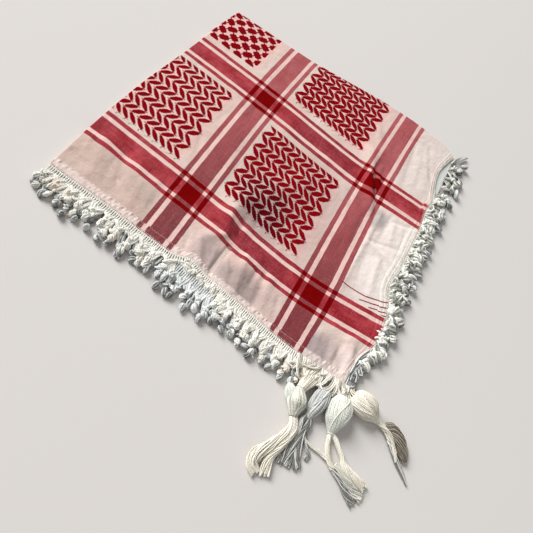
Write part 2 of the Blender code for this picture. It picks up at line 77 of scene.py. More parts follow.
# Folds and creases: start, end, rise at either end (a trough's is below zero), half width
folds = (
    ((428, 138), (480, 262), 6.5, 5.5, 17), ((462, 150), (498, 268), -2.5, -2.5, 12),
    ((345, 318), (272, 440), 4.0, 5.5, 30), ((274, 436), (256, 612), 5.5, 1.0, 20),
    ((392, 372), (325, 500), -1.0, -1.4, 24), ((322, 500), (298, 612), -1.2, -0.8, 14),
    ((352, 520), (338, 612), 3.0, 0.8, 16), ((10, 520), (150, 548), 3.0, 2.0, 18),
    ((508, 345), (588, 350), 2.0, 1.2, 10), ((508, 252), (506, 462), 1.8, 1.2, 11),
    ((528, 612), (574, 540), 1.6, 3.5, 14), ((548, 40), (566, 128), 2.0, 2.6, 16),
    ((452, 290), (462, 372), 2.6, 1.8, 15), ((186, 300), (196, 420), 1.6, 1.2, 26),
    ((250, 40), (330, 60), 1.6, 2.2, 26), ((50, 300), (110, 360), 1.4, 2.0, 30),
    ((66, 500), (92, 574), -2.4, -1.6, 11), ((96, 512), (122, 580), 1.8, 1.2, 12),
    ((150, 512), (166, 590), -1.8, -1.4, 10), ((30, 505), (44, 576), 1.6, 1.2, 12),
    ((548, 560), (576, 596), -2.6, -2.2, 9), ((566, 545), (594, 588), 2.4, 2.0, 10),
)
creases = (
    # beside the far and right bands' crossing
    ((451, 158), (457, 190), -1.9, -1.9, 4.6), ((457, 190), (475, 218), -1.9, -1.8, 4.6),
    ((475, 218), (489, 246), -1.8, -0.6, 4.6), ((462, 150), (470, 186), 1.6, 1.4, 5),
    ((470, 186), (497, 236), 1.4, 0.8, 5), ((446, 288), (456, 328), -1.4, -1.0, 7),
    ((492, 250), (504, 296), -1.5, -0.9, 6), ((512, 240), (526, 284), -1.0, -0.6, 7),
    ((430, 236), (448, 262), 0.9, 0.6, 6), ((424, 200), (440, 176), -0.8, -0.5, 7),
    # the near fold that runs down to the hem
    ((302, 534), (300, 594), -2.8, -2.4, 5), ((255, 556), (277, 594), 1.5, 1.3, 6),
    ((335, 528), (350, 594), 1.9, 1.5, 7), ((363, 540), (366, 568), -1.8, -1.4, 5),
    ((309, 555), (323, 572), 1.1, 0.9, 3), ((286, 552), (292, 590), 0.9, 0.7, 3),
    ((268, 470), (283, 520), 1.9, 1.6, 8), ((283, 520), (253, 548), 1.5, 0.9, 7),
    ((295, 474), (303, 506), -1.8, -1.6, 6), ((314, 436), (318, 470), -1.4, -1.2, 6),
    ((340, 452), (372, 400), -1.0, -0.4, 6), ((318, 500), (340, 520), -0.9, -0.6, 6),
    ((380, 540), (388, 596), -1.3, -1.0, 6), ((392, 536), (404, 590), 1.2, 0.9, 7),
    ((420, 556), (430, 596), -0.8, -0.6, 5), ((236, 566), (246, 598), -1.0, -0.8, 5),
    ((330, 570), (336, 598), -0.8, -0.7, 4),
    # left border
    ((16, 520), (88, 555), -1.7, -1.1, 6), ((0, 561), (40, 569), -1.3, -0.8, 5),
    ((24, 506), (96, 536), 1.1, 0.8, 7), ((88, 556), (150, 580), -0.9, -0.6, 6),
    ((60, 528), (70, 574), -0.7, -0.5, 6), ((118, 532), (128, 580), 0.8, 0.6, 7),
    ((10, 540), (60, 566), 0.8, 0.5, 6), ((150, 540), (158, 590), -0.7, -0.5, 6),
    ((196, 545), (204, 590), 0.7, 0.5, 6),
    # right border, with the lines of an old fold
    ((508, 262), (507, 470), 1.0, 0.7, 3.5), ((512, 343), (590, 348), 0.8, 0.6, 3.5),
    ((517, 333), (580, 308), -1.2, -0.9, 4), ((541, 258), (582, 241), -1.2, -0.9, 4),
    ((532, 250), (530, 330), -0.9, -0.6, 5), ((556, 358), (598, 402), -1.0, -0.8, 4),
    ((548, 366), (560, 440), 0.9, 0.9, 7), ((520, 370), (528, 430), -0.7, -0.5, 6),
    ((544, 262), (552, 312), 0.9, 0.6, 5), ((572, 262), (580, 330), -0.8, -0.6, 4),
    ((512, 236), (520, 262), 0.9, 0.5, 5),
    # right border beyond the far band
    ((560, 70), (586, 122), -1.3, -0.9, 5), ((505, 20), (520, 150), -0.9, -0.6, 6),
    ((540, 10), (556, 60), -0.9, -0.6, 6), ((574, 96), (592, 150), 1.2, 0.9, 4),
    ((528, 60), (540, 132), 0.8, 0.6, 7), ((586, 40), (594, 92), -0.9, -0.7, 3.5),
    # near corner
    ((558, 556), (557, 598), -1.8, -1.5, 5), ((577, 553), (581, 600), 1.8, 1.5, 6),
    ((540, 600), (534, 560), -1.1, -0.7, 6), ((532, 536), (560, 548), 0.9, 0.7, 6),
    ((590, 556), (594, 598), -1.3, -1.1, 4), ((512, 560), (518, 596), 0.8, 0.6, 5),
    # soft unevenness inside the blocks and bands
    ((210, 330), (232, 420), -0.7, -0.5, 8), ((120, 230), (170, 270), 0.7, 0.6, 8),
    ((400, 40), (440, 110), 0.8, 0.9, 9), ((350, 230), (420, 262), 0.7, 0.9, 8),
    ((40, 240), (90, 300), -0.6, -0.4, 9), ((140, 380), (166, 450), -0.7, -0.5, 7),
    ((250, 240), (290, 330), 0.6, 0.7, 9), ((360, 300), (392, 372), -0.8, -0.6, 8),
    ((60, 60), (130, 90), 0.6, 0.5, 9), ((280, 60), (330, 120), -0.6, -0.6, 8),
    ((180, 240), (186, 300), -0.6, -0.4, 6), ((470, 290), (476, 400), 0.7, 0.5, 6),
    ((440, 420), (470, 470), -0.8, -0.5, 7), ((400, 470), (440, 520), 0.8, 0.5, 8),
    ((120, 500), (170, 478), -0.7, -0.4, 6),
)


def follow(places, values, at):
    # reads a smooth curve through the rows of values at each of many places
    places, values = np.asarray(places, float), np.asarray(values, float)
    at = np.clip(at, places[0], places[-1])
    slopes = np.gradient(values, places, axis=0)
    low = np.clip(np.searchsorted(places, at) - 1, 0, len(places) - 2)
    each = np.arange(len(at))
    span = places[low + 1] - places[low]
    t = (at - places[low]) / span
    if values.ndim == 3:
        first, second = values[low, each], values[low + 1, each]
        lead, lag = slopes[low, each], slopes[low + 1, each]
    else:
        first, second, lead, lag = values[low], values[low + 1], slopes[low], slopes[low + 1]
    t, span = t[:, None], span[:, None]
    rise = t * t * (3 - 2 * t)
    bend = lead * t * (1 - t) ** 2 + lag * t * t * (t - 1)
    return first * (1 - rise) + second * rise + bend * span


def readTable(table, at):
    # the value, at each place, of the smooth curve through a table of places and values
    table = np.array(table, float)
    return follow(table[:, 0], table[:, 1:], np.atleast_1d(at))[:, 0]


def unit(vectors):
    # vectors made one long; the tiny number lets a vector of no length stay as it is
    return vectors / (np.linalg.norm(vectors, axis=-1, keepdims=True) + 1e-12)


def squareTo(vectors):
    # plan directions a quarter turn from these
    return np.stack([-vectors[..., 1], vectors[..., 0]], -1)


def fading(distance, reach):
    # 1 at an edge and 0 from the reach on
    return np.clip(1 - distance / reach, 0, 1)


def lay(across, down, rightEdge="right", nearEdge="near"):
    # plan place of a point of the folded cloth
    across, down = np.broadcast_arrays(np.atleast_1d(across), np.atleast_1d(down))
    across, down = across.astype(float), down.astype(float)
    rows = [follow(layout["bands"], points, across) for points in layout["crossings"]]
    plan = follow(layout["bands"], np.array(rows), down)

    def edge(name, place, distance):
        return readTable(layout["edges"][name], place) * fading(distance, layout["waveReach"]) ** 2

    plan[:, 0] += edge(rightEdge, down, quarter - across) + np.maximum(across - quarter, 0)
    plan[:, 0] -= edge("left", down, across)
    plan[:, 1] += edge(nearEdge, across, quarter - down) + np.maximum(down - quarter, 0)
    plan[:, 1] -= edge("far", across, down)
    return plan


def reliefOf(plan, table):
    # rounded ridges and troughs, each along a straight line
    height = np.zeros(len(plan))
    for start, end, startRise, endRise, halfWidth in table:
        start, run = np.array(start, float), np.array(end, float) - np.array(start, float)
        along = np.clip((plan - start) @ run / (run @ run), 0, 1)
        distance = np.linalg.norm(plan - start - along[:, None] * run, axis=1)
        height += (startRise + (endRise - startRise) * along) * np.exp(-((distance / halfWidth) ** 2))
    return height


def rumple(plan, size, seed):
    # an uneven low swell, between about -1 and 1
    x, y = plan[:, 0] / size, plan[:, 1] / size
    bentX, bentY = 1.3 * np.sin(x * 1.1 + 2 * seed), 2.1 * np.sin(y * 0.9 + seed)
    first = np.sin(x * 1.9 + bentY) * np.sin(y * 1.7 + bentX)
    second = np.sin(x * 4.3 + y * 2.7 + seed) * np.sin(y * 3.9 - x * 1.5 + 3 * seed)
    return 0.7 * first + 0.3 * second


def clothHeight(plan):
    # the uppermost layer with its folds alone
    return layout["stack"] + reliefOf(plan, folds)


def toWorld(plan, height):
    # plan places and heights in mm as places in metres
    height = np.broadcast_to(height, plan.shape[:-1])
    return np.stack([planOrigin[0] + plan[..., 0] * mm, planOrigin[1] - plan[..., 1] * mm, height * mm], -1)


def flatCut(across, down):
    # where a point of the uppermost layer lies on the flat cut, from the middle of the cloth, in mm
    left = readTable(layout["cutAtLeft"], down)
    far = readTable(layout["cutAtFar"], across)
    band = layout["bands"][1]
    return (np.where(across < band, left + (band - left) * across / band, across),
            np.where(down < band, far + (band - far) * down / band, down))


# Making meshes

def clearSelection():
    bpy.ops.object.select_all(action="DESELECT")


def makeGrid(name, columns, rows):
    # a grid whose vertices know their column from the left and row from the far side
    clearSelection()
    bpy.ops.mesh.primitive_grid_add(x_subdivisions=columns - 1, y_subdivisions=rows - 1, size=1)
    piece = bpy.context.object
    piece.name = piece.data.name = name
    place = np.empty(len(piece.data.vertices) * 3)
    piece.data.vertices.foreach_get("co", place)
    place = place.reshape(-1, 3)
    column = np.rint((place[:, 0] + 0.5) * (columns - 1)).astype(int)
    row = np.rint((0.5 - place[:, 1]) * (rows - 1)).astype(int)
    return piece, column, row


def setPlaces(piece, places):
    # one row of places per vertex
    piece.data.vertices.foreach_set("co", np.asarray(places, float).ravel())
    piece.data.update()


def setFlat(piece, across, down):
    # the flat cut's own measures, in metres, as the cloth's UV map
    while piece.data.uv_layers:
        piece.data.uv_layers.remove(piece.data.uv_layers[0])
    uvMap = piece.data.uv_layers.new(name="cut")
    corner = np.empty(len(piece.data.loops), int)
    piece.data.loops.foreach_get("vertex_index", corner)
    uvMap.data.foreach_set("uv", (np.stack([across, down], 1)[corner] * mm).ravel())


def choose(piece):
    clearSelection()
    piece.select_set(True)
    bpy.context.view_layer.objects.active = piece


def thicken(piece, thickness):
    # gives a sheet a wall behind its faces, or before them where the thickness is under zero
    choose(piece)
    wall = piece.modifiers.new("wall", "SOLIDIFY")
    wall.thickness = thickness * mm
    wall.offset = -1
    wall.use_even_offset = False
    bpy.ops.object.modifier_apply(modifier="wall")
    bpy.ops.object.shade_smooth_by_angle(angle=math.radians(60))


class Bundle:
    # many threads and knots gathered into one mesh
    def __init__(self):
        self.places, self.faces, self.uvs, self.count, self.threadCount = [], [], [], 0, 0

    def lofts(self, rings, lengths=None):
        # rings: loft, ring, point round the ring, place in metres
        lofts, count, sides, _ = rings.shape
        index = self.count + np.arange(lofts * count * sides).reshape(lofts, count, sides)
        self.places.append(rings.reshape(-1, 3))
        self.count += lofts * count * sides
        after = np.roll(index, -1, axis=2)
        quads = np.stack([index[:, :-1], after[:, :-1], after[:, 1:], index[:, 1:]], -1)
        self.faces += quads.reshape(-1, 4).tolist()
        if lengths is None:
            lengths = np.broadcast_to(np.arange(count) * mm, (lofts, count))
        along = np.stack([lengths[:, :-1], lengths[:, :-1], lengths[:, 1:], lengths[:, 1:]], -1)
        along = np.broadcast_to(along[:, :, None, :], quads.shape)
        once = 0.96  # a little under 1, so that the whole number tells one thread from the next
        step = np.arange(sides) / sides * once
        turn = np.stack([step, step + once / sides, step + once / sides, step], -1)
        turn = turn[None, None] + (self.threadCount + np.arange(lofts))[:, None, None, None]
        turn = np.broadcast_to(turn, quads.shape)
        self.threadCount += lofts
        self.uvs.append(np.stack([along, turn], -1).reshape(-1, 2))
        for cap in (index[:, 0, ::-1], index[:, -1]):
            self.faces += cap.tolist()
            self.uvs.append(np.zeros((lofts * sides, 2)))

    def threads(self, paths, radii, sides=5):
        # paths: thread, point, place in metres; radii in metres
        tangent = unit(np.gradient(paths, axis=1))
        guide = np.where(np.abs(tangent[:, 0, 2:3]) < 0.9, [[0.0, 0.0, 1.0]], [[1.0, 0.0, 0.0]])
        side = np.cross(tangent[:, 0], guide)
        angle = 2 * math.pi * np.arange(sides) / sides
        rings = []
        for k in range(paths.shape[1]):
            t = tangent[:, k]
            side = unit(side - (side * t).sum(1)[:, None] * t)
            up = np.cross(side, t)
            spoke = side[:, None] * np.cos(angle)[None, :, None] + up[:, None] * np.sin(angle)[None, :, None]
            rings.append(paths[:, k, None] + spoke * radii[:, k, None, None])
        steps = np.linalg.norm(np.diff(paths, axis=1), axis=2)
        lengths = np.concatenate([np.zeros((len(paths), 1)), np.cumsum(steps, axis=1)], axis=1)
        self.lofts(np.stack(rings, 1), lengths)

    def make(self, name):
        mesh = bpy.data.meshes.new(name)
        mesh.from_pydata(np.concatenate(self.places).tolist(), [], self.faces)
        uvMap = mesh.uv_layers.new(name="thread")
        uvMap.data.foreach_set("uv", np.concatenate(self.uvs).ravel())
        piece = bpy.data.objects.new(name, mesh)
        bpy.context.scene.collection.objects.link(piece)
        choose(piece)
        bpy.ops.object.mode_set(mode="EDIT")
        bpy.ops.mesh.select_all(action="SELECT")
        bpy.ops.mesh.normals_make_consistent(inside=False)
        bpy.ops.object.mode_set(mode="OBJECT")
        bpy.ops.object.shade_smooth_by_angle(angle=math.radians(80))
        return piece


def bezier(first, second, third, fourth, count):
    # places along many curves at once, each end and handle one row per curve
    t = np.linspace(0, 1, count)[None, :, None]
    first, second, third, fourth = (p[:, None, :] for p in (first, second, third, fourth))
    return (first * (1 - t) ** 3 + second * 3 * t * (1 - t) ** 2
            + third * 3 * t * t * (1 - t) + fourth * t ** 3)


# Materials

def mathNode(operation, turned=False):
    # a method that adds a Math node, with its values the other way round where it is turned
    def method(self, *others):
        values = (self, *others)
        return self.paint.math(operation, *(values[::-1] if turned else values))
    return method


class Value:
    # a number socket that can be used in sums
    __add__, __radd__ = mathNode("ADD"), mathNode("ADD", True)
    __sub__, __rsub__ = mathNode("SUBTRACT"), mathNode("SUBTRACT", True)
    __mul__, __rmul__ = mathNode("MULTIPLY"), mathNode("MULTIPLY", True)
    __truediv__, __pow__, __abs__ = mathNode("DIVIDE"), mathNode("POWER"), mathNode("ABSOLUTE")
    __gt__, __lt__ = mathNode("GREATER_THAN"), mathNode("LESS_THAN")
    floor, fract, sine = mathNode("FLOOR"), mathNode("FRACT"), mathNode("SINE")
    least, most = mathNode("MINIMUM"), mathNode("MAXIMUM")

    def __init__(self, paint, socket):
        self.paint, self.socket = paint, socket

    def within(self, limit, soft):
        # 1 where the value is under the limit, with a soft edge
        return self.paint.remap(self, limit + soft / 2, limit - soft / 2)


cotton = {"Sheen Roughness": 0.5, "Sheen Tint": (1.0, 0.72, 0.68, 1.0), "Specular IOR Level": 0.01}


def anyOf(masks):
    # as high as the highest of the masks
    return reduce(Value.most, masks)


class Paint:
    # one material, built node by node
    def __init__(self, name, roughness, sheen=0.0):
        self.material = bpy.data.materials.new(name)
        self.material.use_nodes = True
        self.tree = self.material.node_tree
        self.shader = self.tree.nodes["Principled BSDF"]
        for key, setting in {"Roughness": roughness, "Sheen Weight": sheen, **cotton}.items():
            self.shader.inputs[key].default_value = setting

    def node(self, kind, settings, sockets):
        made = self.tree.nodes.new(kind)
        for key, setting in settings.items():
            setattr(made, key, setting)
        for key, value in sockets.items():
            self.connect(made.inputs[key], value)
        return made

    def connect(self, socket, value):
        if isinstance(value, Value):
            value = value.socket
        if isinstance(value, bpy.types.NodeSocket):
            self.tree.links.new(value, socket)
        else:
            socket.default_value = (*value, 1.0) if socket.type == "RGBA" and len(value) == 3 else value

    def value(self, node, output=0):
        return Value(self, node.outputs[output])

    def math(self, operation, *values):
        return self.value(self.node("ShaderNodeMath", {"operation": operation}, dict(enumerate(values))))

    def remap(self, value, low, high, toLow=0.0, toHigh=1.0, kind="SMOOTHSTEP"):
        sockets = {0: value, 1: low, 2: high, 3: toLow, 4: toHigh}
        return self.value(self.node("ShaderNodeMapRange", {"interpolation_type": kind}, sockets))

    def ramp(self, value, low, high):
        return self.remap(value, low, high, kind="LINEAR")

    def mix(self, factor, first, second):
        sockets = {0: factor, 6: first, 7: second}
        return self.node("ShaderNodeMix", {"data_type": "RGBA"}, sockets).outputs[2]

    def coordinates(self, uvMap=None):
        # the named UV map, or the piece's own coordinates
        if uvMap:
            return self.node("ShaderNodeUVMap", {"uv_map": uvMap}, {}).outputs[0]
        return self.node("ShaderNodeTexCoord", {}, {}).outputs["Object"]

    def axes(self, vector, scale=1.0):
        split = self.node("ShaderNodeSeparateXYZ", {}, {0: vector})
        return [Value(self, output) * scale for output in split.outputs]

    def noise(self, vector, scale, detail=2.0, stretch=(1, 1, 1), roughness=0.5):
        placed = self.node("ShaderNodeMapping", {}, {"Vector": vector, "Scale": stretch}).outputs[0]
        sockets = {"Vector": placed, "Scale": scale, "Detail": detail, "Roughness": roughness}
        return self.value(self.node("ShaderNodeTexNoise", {}, sockets))

    def finish(self, colour, bumps):
        # bumps: height in mm and the value it follows, from coarse to fine
        self.connect(self.shader.inputs["Base Color"], colour)
        normal = None
        for height, value in bumps:
            sockets = {"Height": value, "Distance": height * mm, "Strength": 1.0}
            if normal is not None:
                sockets["Normal"] = normal
            normal = self.node("ShaderNodeBump", {}, sockets).outputs[0]
        self.tree.links.new(normal, self.shader.inputs["Normal"])
        return self.material


weave = {
    "ground": (0.82, 0.655, 0.585),
    "groundPink": (0.80, 0.580, 0.515),
    "groundBlock": (0.93, 0.535, 0.505),  # the ground among the figures is tinged by the red threads beneath
    "gap": (0.89, 0.615, 0.560),
    "edge": (0.92, 0.865, 0.790),
    "hem": (0.95, 0.80, 0.74),
    "edgeBrownGrey": (0.34, 0.28, 0.23),
    # painted shade in the grooves of the right hem
    "grooveShade": (0.40, 0.37, 0.33),
    "redAcross": (0.315, 0.010, 0.021),  # bands woven with red threads running across
    "redAcrossWorn": (0.54, 0.064, 0.084),
    # painted shade: the across bands' red beside the folds
    "redAcrossShade": (0.20, 0.012, 0.026),
    "redDown": (0.410, 0.066, 0.076),  # bands that run down the cloth, which look paler
    "redDownDeep": (0.205, 0.018, 0.027),
    "redDownWorn": (0.55, 0.165, 0.175),
    "redBoth": (0.200, 0.0005, 0.001),
    "figure": (0.250, 0.0008, 0.0045),
    # painted shade: the figures' red in the middle block's hollow
    "figureShade": (0.092, 0.0012, 0.0050),
    "mark": (0.27, 0.010, 0.026),
    "threadPale": (0.95, 0.80, 0.74),
    "threadDark": (0.10, 0.03, 0.03),
    "grainPale": (0.95, 0.76, 0.71),
    "grainDark": (0.10, 0.02, 0.025),
    # painted shade: the grey that the hidden layers draw to
    "underShadeColour": (0.70, 0.73, 0.70),
    # each band's wide stripe, and the pale gap and thin stripe at either side of it
    "wide": 17.2, "gapMiddle": 21.2, "gapHalf": 4.0, "thinMiddle": 29.7, "thinHalf": 4.4,
    "grooves": (586.2, 593.4), "uprightMark": (601.5, 428.0, 19.0),
    # places, each as its middle, how far from it a tint begins and how far it is full
    "blocksAcross": ((336.0, 98.0, 80.0), (0.0, 150.0, 134.0)),
    "blocksDown": ((337.0, 98.0, 80.0), (0.0, 152.0, 136.0)),
    # the last two are where painted shade darkens the across bands beside the middle and left folds
    "besideBlock": (345.0, 160.0, 130.0), "middleFoldShade": (352.0, 100.0, 50.0), "leftFoldShade": (0.0, 46.0, 12.0),
    # edges, each as where a tint begins and where it is full
    "paleEdge": (574.0, 582.0), "paleHem": (580.5, 583.0), "underEdge": (554.0, 574.0),
    "brownEdgeAcross": (594.0, 598.0), "brownEdgeDown": (172.0, 150.0), "deepDown": (120.0, 560.0),
    "heartShade": (312.0, 412.0, 66.0, 74.0),  # where painted shade darkens the figures in the middle block's hollow
}
# Faded and soiled places on the cut, and painted shade in the hollows of folds: across, down, reach across,
# reach down, colour, strength
tintsAndShade = (
    (60, 560, 190, 60, (0.60, 0.44, 0.37), 0.60),
    # painted shade in the hollows beside the near fold, this row and the next
    (285, 558, 42, 40, (0.46, 0.37, 0.36), 0.70),
    (362, 556, 44, 40, (0.40, 0.31, 0.29), 0.85),
    (440, 552, 60, 40, (0.62, 0.48, 0.44), 0.40),
    (225, 560, 34, 34, (0.92, 0.72, 0.66), 0.50),
    # painted shade in the hollow of the middle block
    (330, 400, 54, 60, (0.42, 0.33, 0.32), 0.60),
    (560, 330, 60, 110, (0.99, 0.90, 0.84), 0.85),
    (528, 440, 34, 50, (0.88, 0.79, 0.74), 0.50),
    (560, 60, 60, 120, (0.82, 0.75, 0.70), 0.65),
    # painted shade in the folds of the near corner
    (536, 584, 52, 44, (0.44, 0.36, 0.35), 0.95),
    (580, 570, 34, 40, (0.95, 0.77, 0.71), 0.60),
    (430, 90, 60, 60, (0.74, 0.54, 0.48), 0.30),
    (120, 330, 120, 90, (0.85, 0.62, 0.56), 0.30),
    # painted shade over the middle block and beside the crossing of the far and right bands, this row and the
    # next
    (345, 345, 120, 120, (0.56, 0.40, 0.37), 0.55),
    (514, 262, 26, 24, (0.46, 0.41, 0.39), 0.80),
)
# Single red threads in the right border: from, to, middle's place down the cut, how far they fall
plainThreads = (
    (509.0, 556.0, 421.0, -3.0), (556.0, 603.0, 416.5, 11.0), (547.0, 575.0, 431.0, 6.0),
    (573.0, 604.0, 424.5, 6.5), (566.0, 606.0, 434.0, 10.0), (586.0, 606.0, 438.5, 4.0),
    (596.0, 606.0, 429.0, 8.0), (597.0, 606.0, 421.0, -6.0),
)
# Blocks of zigzag chains: the first chain's place and the first turn's, then how much wider the dashes are
zigzags = (
    {"across": 237.0, "pitch": 16.4, "chains": 11, "down": 252.2, "row": 17.55, "rows": (-0.6, 10.0),
     "slant": 0.0, "wider": 1.5},
    {"across": -151.6, "pitch": 16.2, "chains": 18, "down": 251.5, "row": 18.2, "rows": (-0.65, 10.0),
     "slant": 0.0, "wider": 0.6},
    {"across": 237.5, "pitch": 16.4, "chains": 11, "down": 32.0, "row": 18.8, "rows": (-12.0, 6.1),
     "slant": 0.055, "wider": 2.1},
)
# The figures' single stitches, in mm
stitch = {"pitch": 2.7, "tooth": 1.8, "barrelTooth": 1.1, "dash": 5.1, "backNarrower": 0.5, "narrowest": 0.7,
          "whiskerOut": 2.7, "whiskerHalf": 2.9, "whiskerHigh": 0.9, "curl": 1.7, "curlHalf": 0.75}
barrels = {
    "across": 0.5, "pitch": 30.0, "down": 142.5, "rowPitch": 34.2,
    "halfLong": 10.5, "halfShort": 7.8, "lean": 38.0, "limitAcross": 136.0, "limitDown": 146.5,
}


def stripes(place):
    # the red stripes and the pale gaps that lie at this place on one axis of the cut
    first, second = (abs(abs(place) - at) for at in layout["bands"][1:3])
    distance = first.least(second)
    wide = distance.within(weave["wide"], 1.0)
    thin = abs(distance - weave["thinMiddle"]).within(weave["thinHalf"], 1.0)
    gap = abs(distance - weave["gapMiddle"]).within(weave["gapHalf"], 1.0)
    return wide.most(thin), gap


def zigzag(u, v, block):
    # chains of short dashes that turn back at each row, with a whisker at each turn and a curl at the end
    turn = (v + (u - block["across"]) * block["slant"] - block["down"]) / block["row"]
    pair = (turn * 0.5).fract() * 2.0
    backRow = pair > 1.0
    corner = abs(pair - 1.0)
    part = turn.fract()
    chain = (u - block["across"]) / block["pitch"] - corner + 0.5
    number = chain.floor()
    beside = (chain - number - 0.5) * block["pitch"]
    fullness = (part * (1.0 - part) * 5.2).least(1.0)
    full = stitch["dash"] + block["wider"] - backRow * stitch["backNarrower"]
    width = full * fullness + stitch["narrowest"]
    tooth = ((v / stitch["pitch"]).fract() - 0.5) * stitch["tooth"]
    dash = abs(beside + tooth).within(width, 0.9)
    fromTurn = abs((turn + 0.5).fract() - 0.5) * block["row"]
    outward = beside * ((corner > 0.5) * 2.0 - 1.0)
    whisker = (fromTurn.within(stitch["whiskerHigh"], 0.7)
               * abs(outward - stitch["whiskerOut"]).within(stitch["whiskerHalf"], 0.8))
    low, high = block["rows"]
    rows = abs(turn - (low + high) / 2) < (high - low) / 2
    chains = abs(number - (block["chains"] - 1) / 2) < block["chains"] / 2
    curl = abs(beside - ((v * 0.8 + number * 2.3).sine() * stitch["curl"])).within(stitch["curlHalf"], 0.6)
    ends = abs(turn - (high + 0.14)) < 0.16
    return (dash.most(whisker) * rows).most(curl * ends) * chains


def barrelNet(u, v):
    # two sets of fat barrels that lean either way, each with a thin tie through it
    turned = math.radians(barrels["lean"])
    found = []
    for shift, way in ((0.0, 1.0), (0.5, -1.0)):
        across = ((u - barrels["across"]) / barrels["pitch"] + 0.5 + shift).fract() - 0.5
        down = ((v - barrels["down"]) / barrels["rowPitch"] + 0.5 + shift).fract() - 0.5
        down = down * barrels["rowPitch"]
        tooth = ((down / stitch["pitch"]).fract() - 0.5) * stitch["barrelTooth"]
        across = across * barrels["pitch"] + tooth
        along = across * math.cos(turned) + down * (math.sin(turned) * way)
        beside = down * math.cos(turned) - across * (math.sin(turned) * way)
        oval = (abs(along) / barrels["halfLong"]) ** 4.0 + (abs(beside) / barrels["halfShort"]) ** 4.0
        tie = abs(along - beside * 0.12).within(1.5, 0.8) * abs(beside).within(14.0, 1.5)
        found.append(oval.within(1.0, 0.2).most(tie))
    return anyOf(found) * (abs(u) < barrels["limitAcross"]) * (abs(v) < barrels["limitDown"])


def borderMarks(u, v, plainV, wobble):
    # the plain red threads in the right border, and the one that runs down beside them
    found = []
    for start, end, at, fall in plainThreads:
        slope = fall / (end - start)
        line = abs(v - at + (u - (start + end) / 2) * slope + wobble * 2.2).within(1.15, 0.8)
        found.append(line * (u > start) * (u < end))
    across, middle, half = weave["uprightMark"]
    upright = abs(u - across + (v * 0.7).sine() * 1.3).within(0.9, 0.8)
    return anyOf(found + [upright * (abs(plainV - middle) < half)])


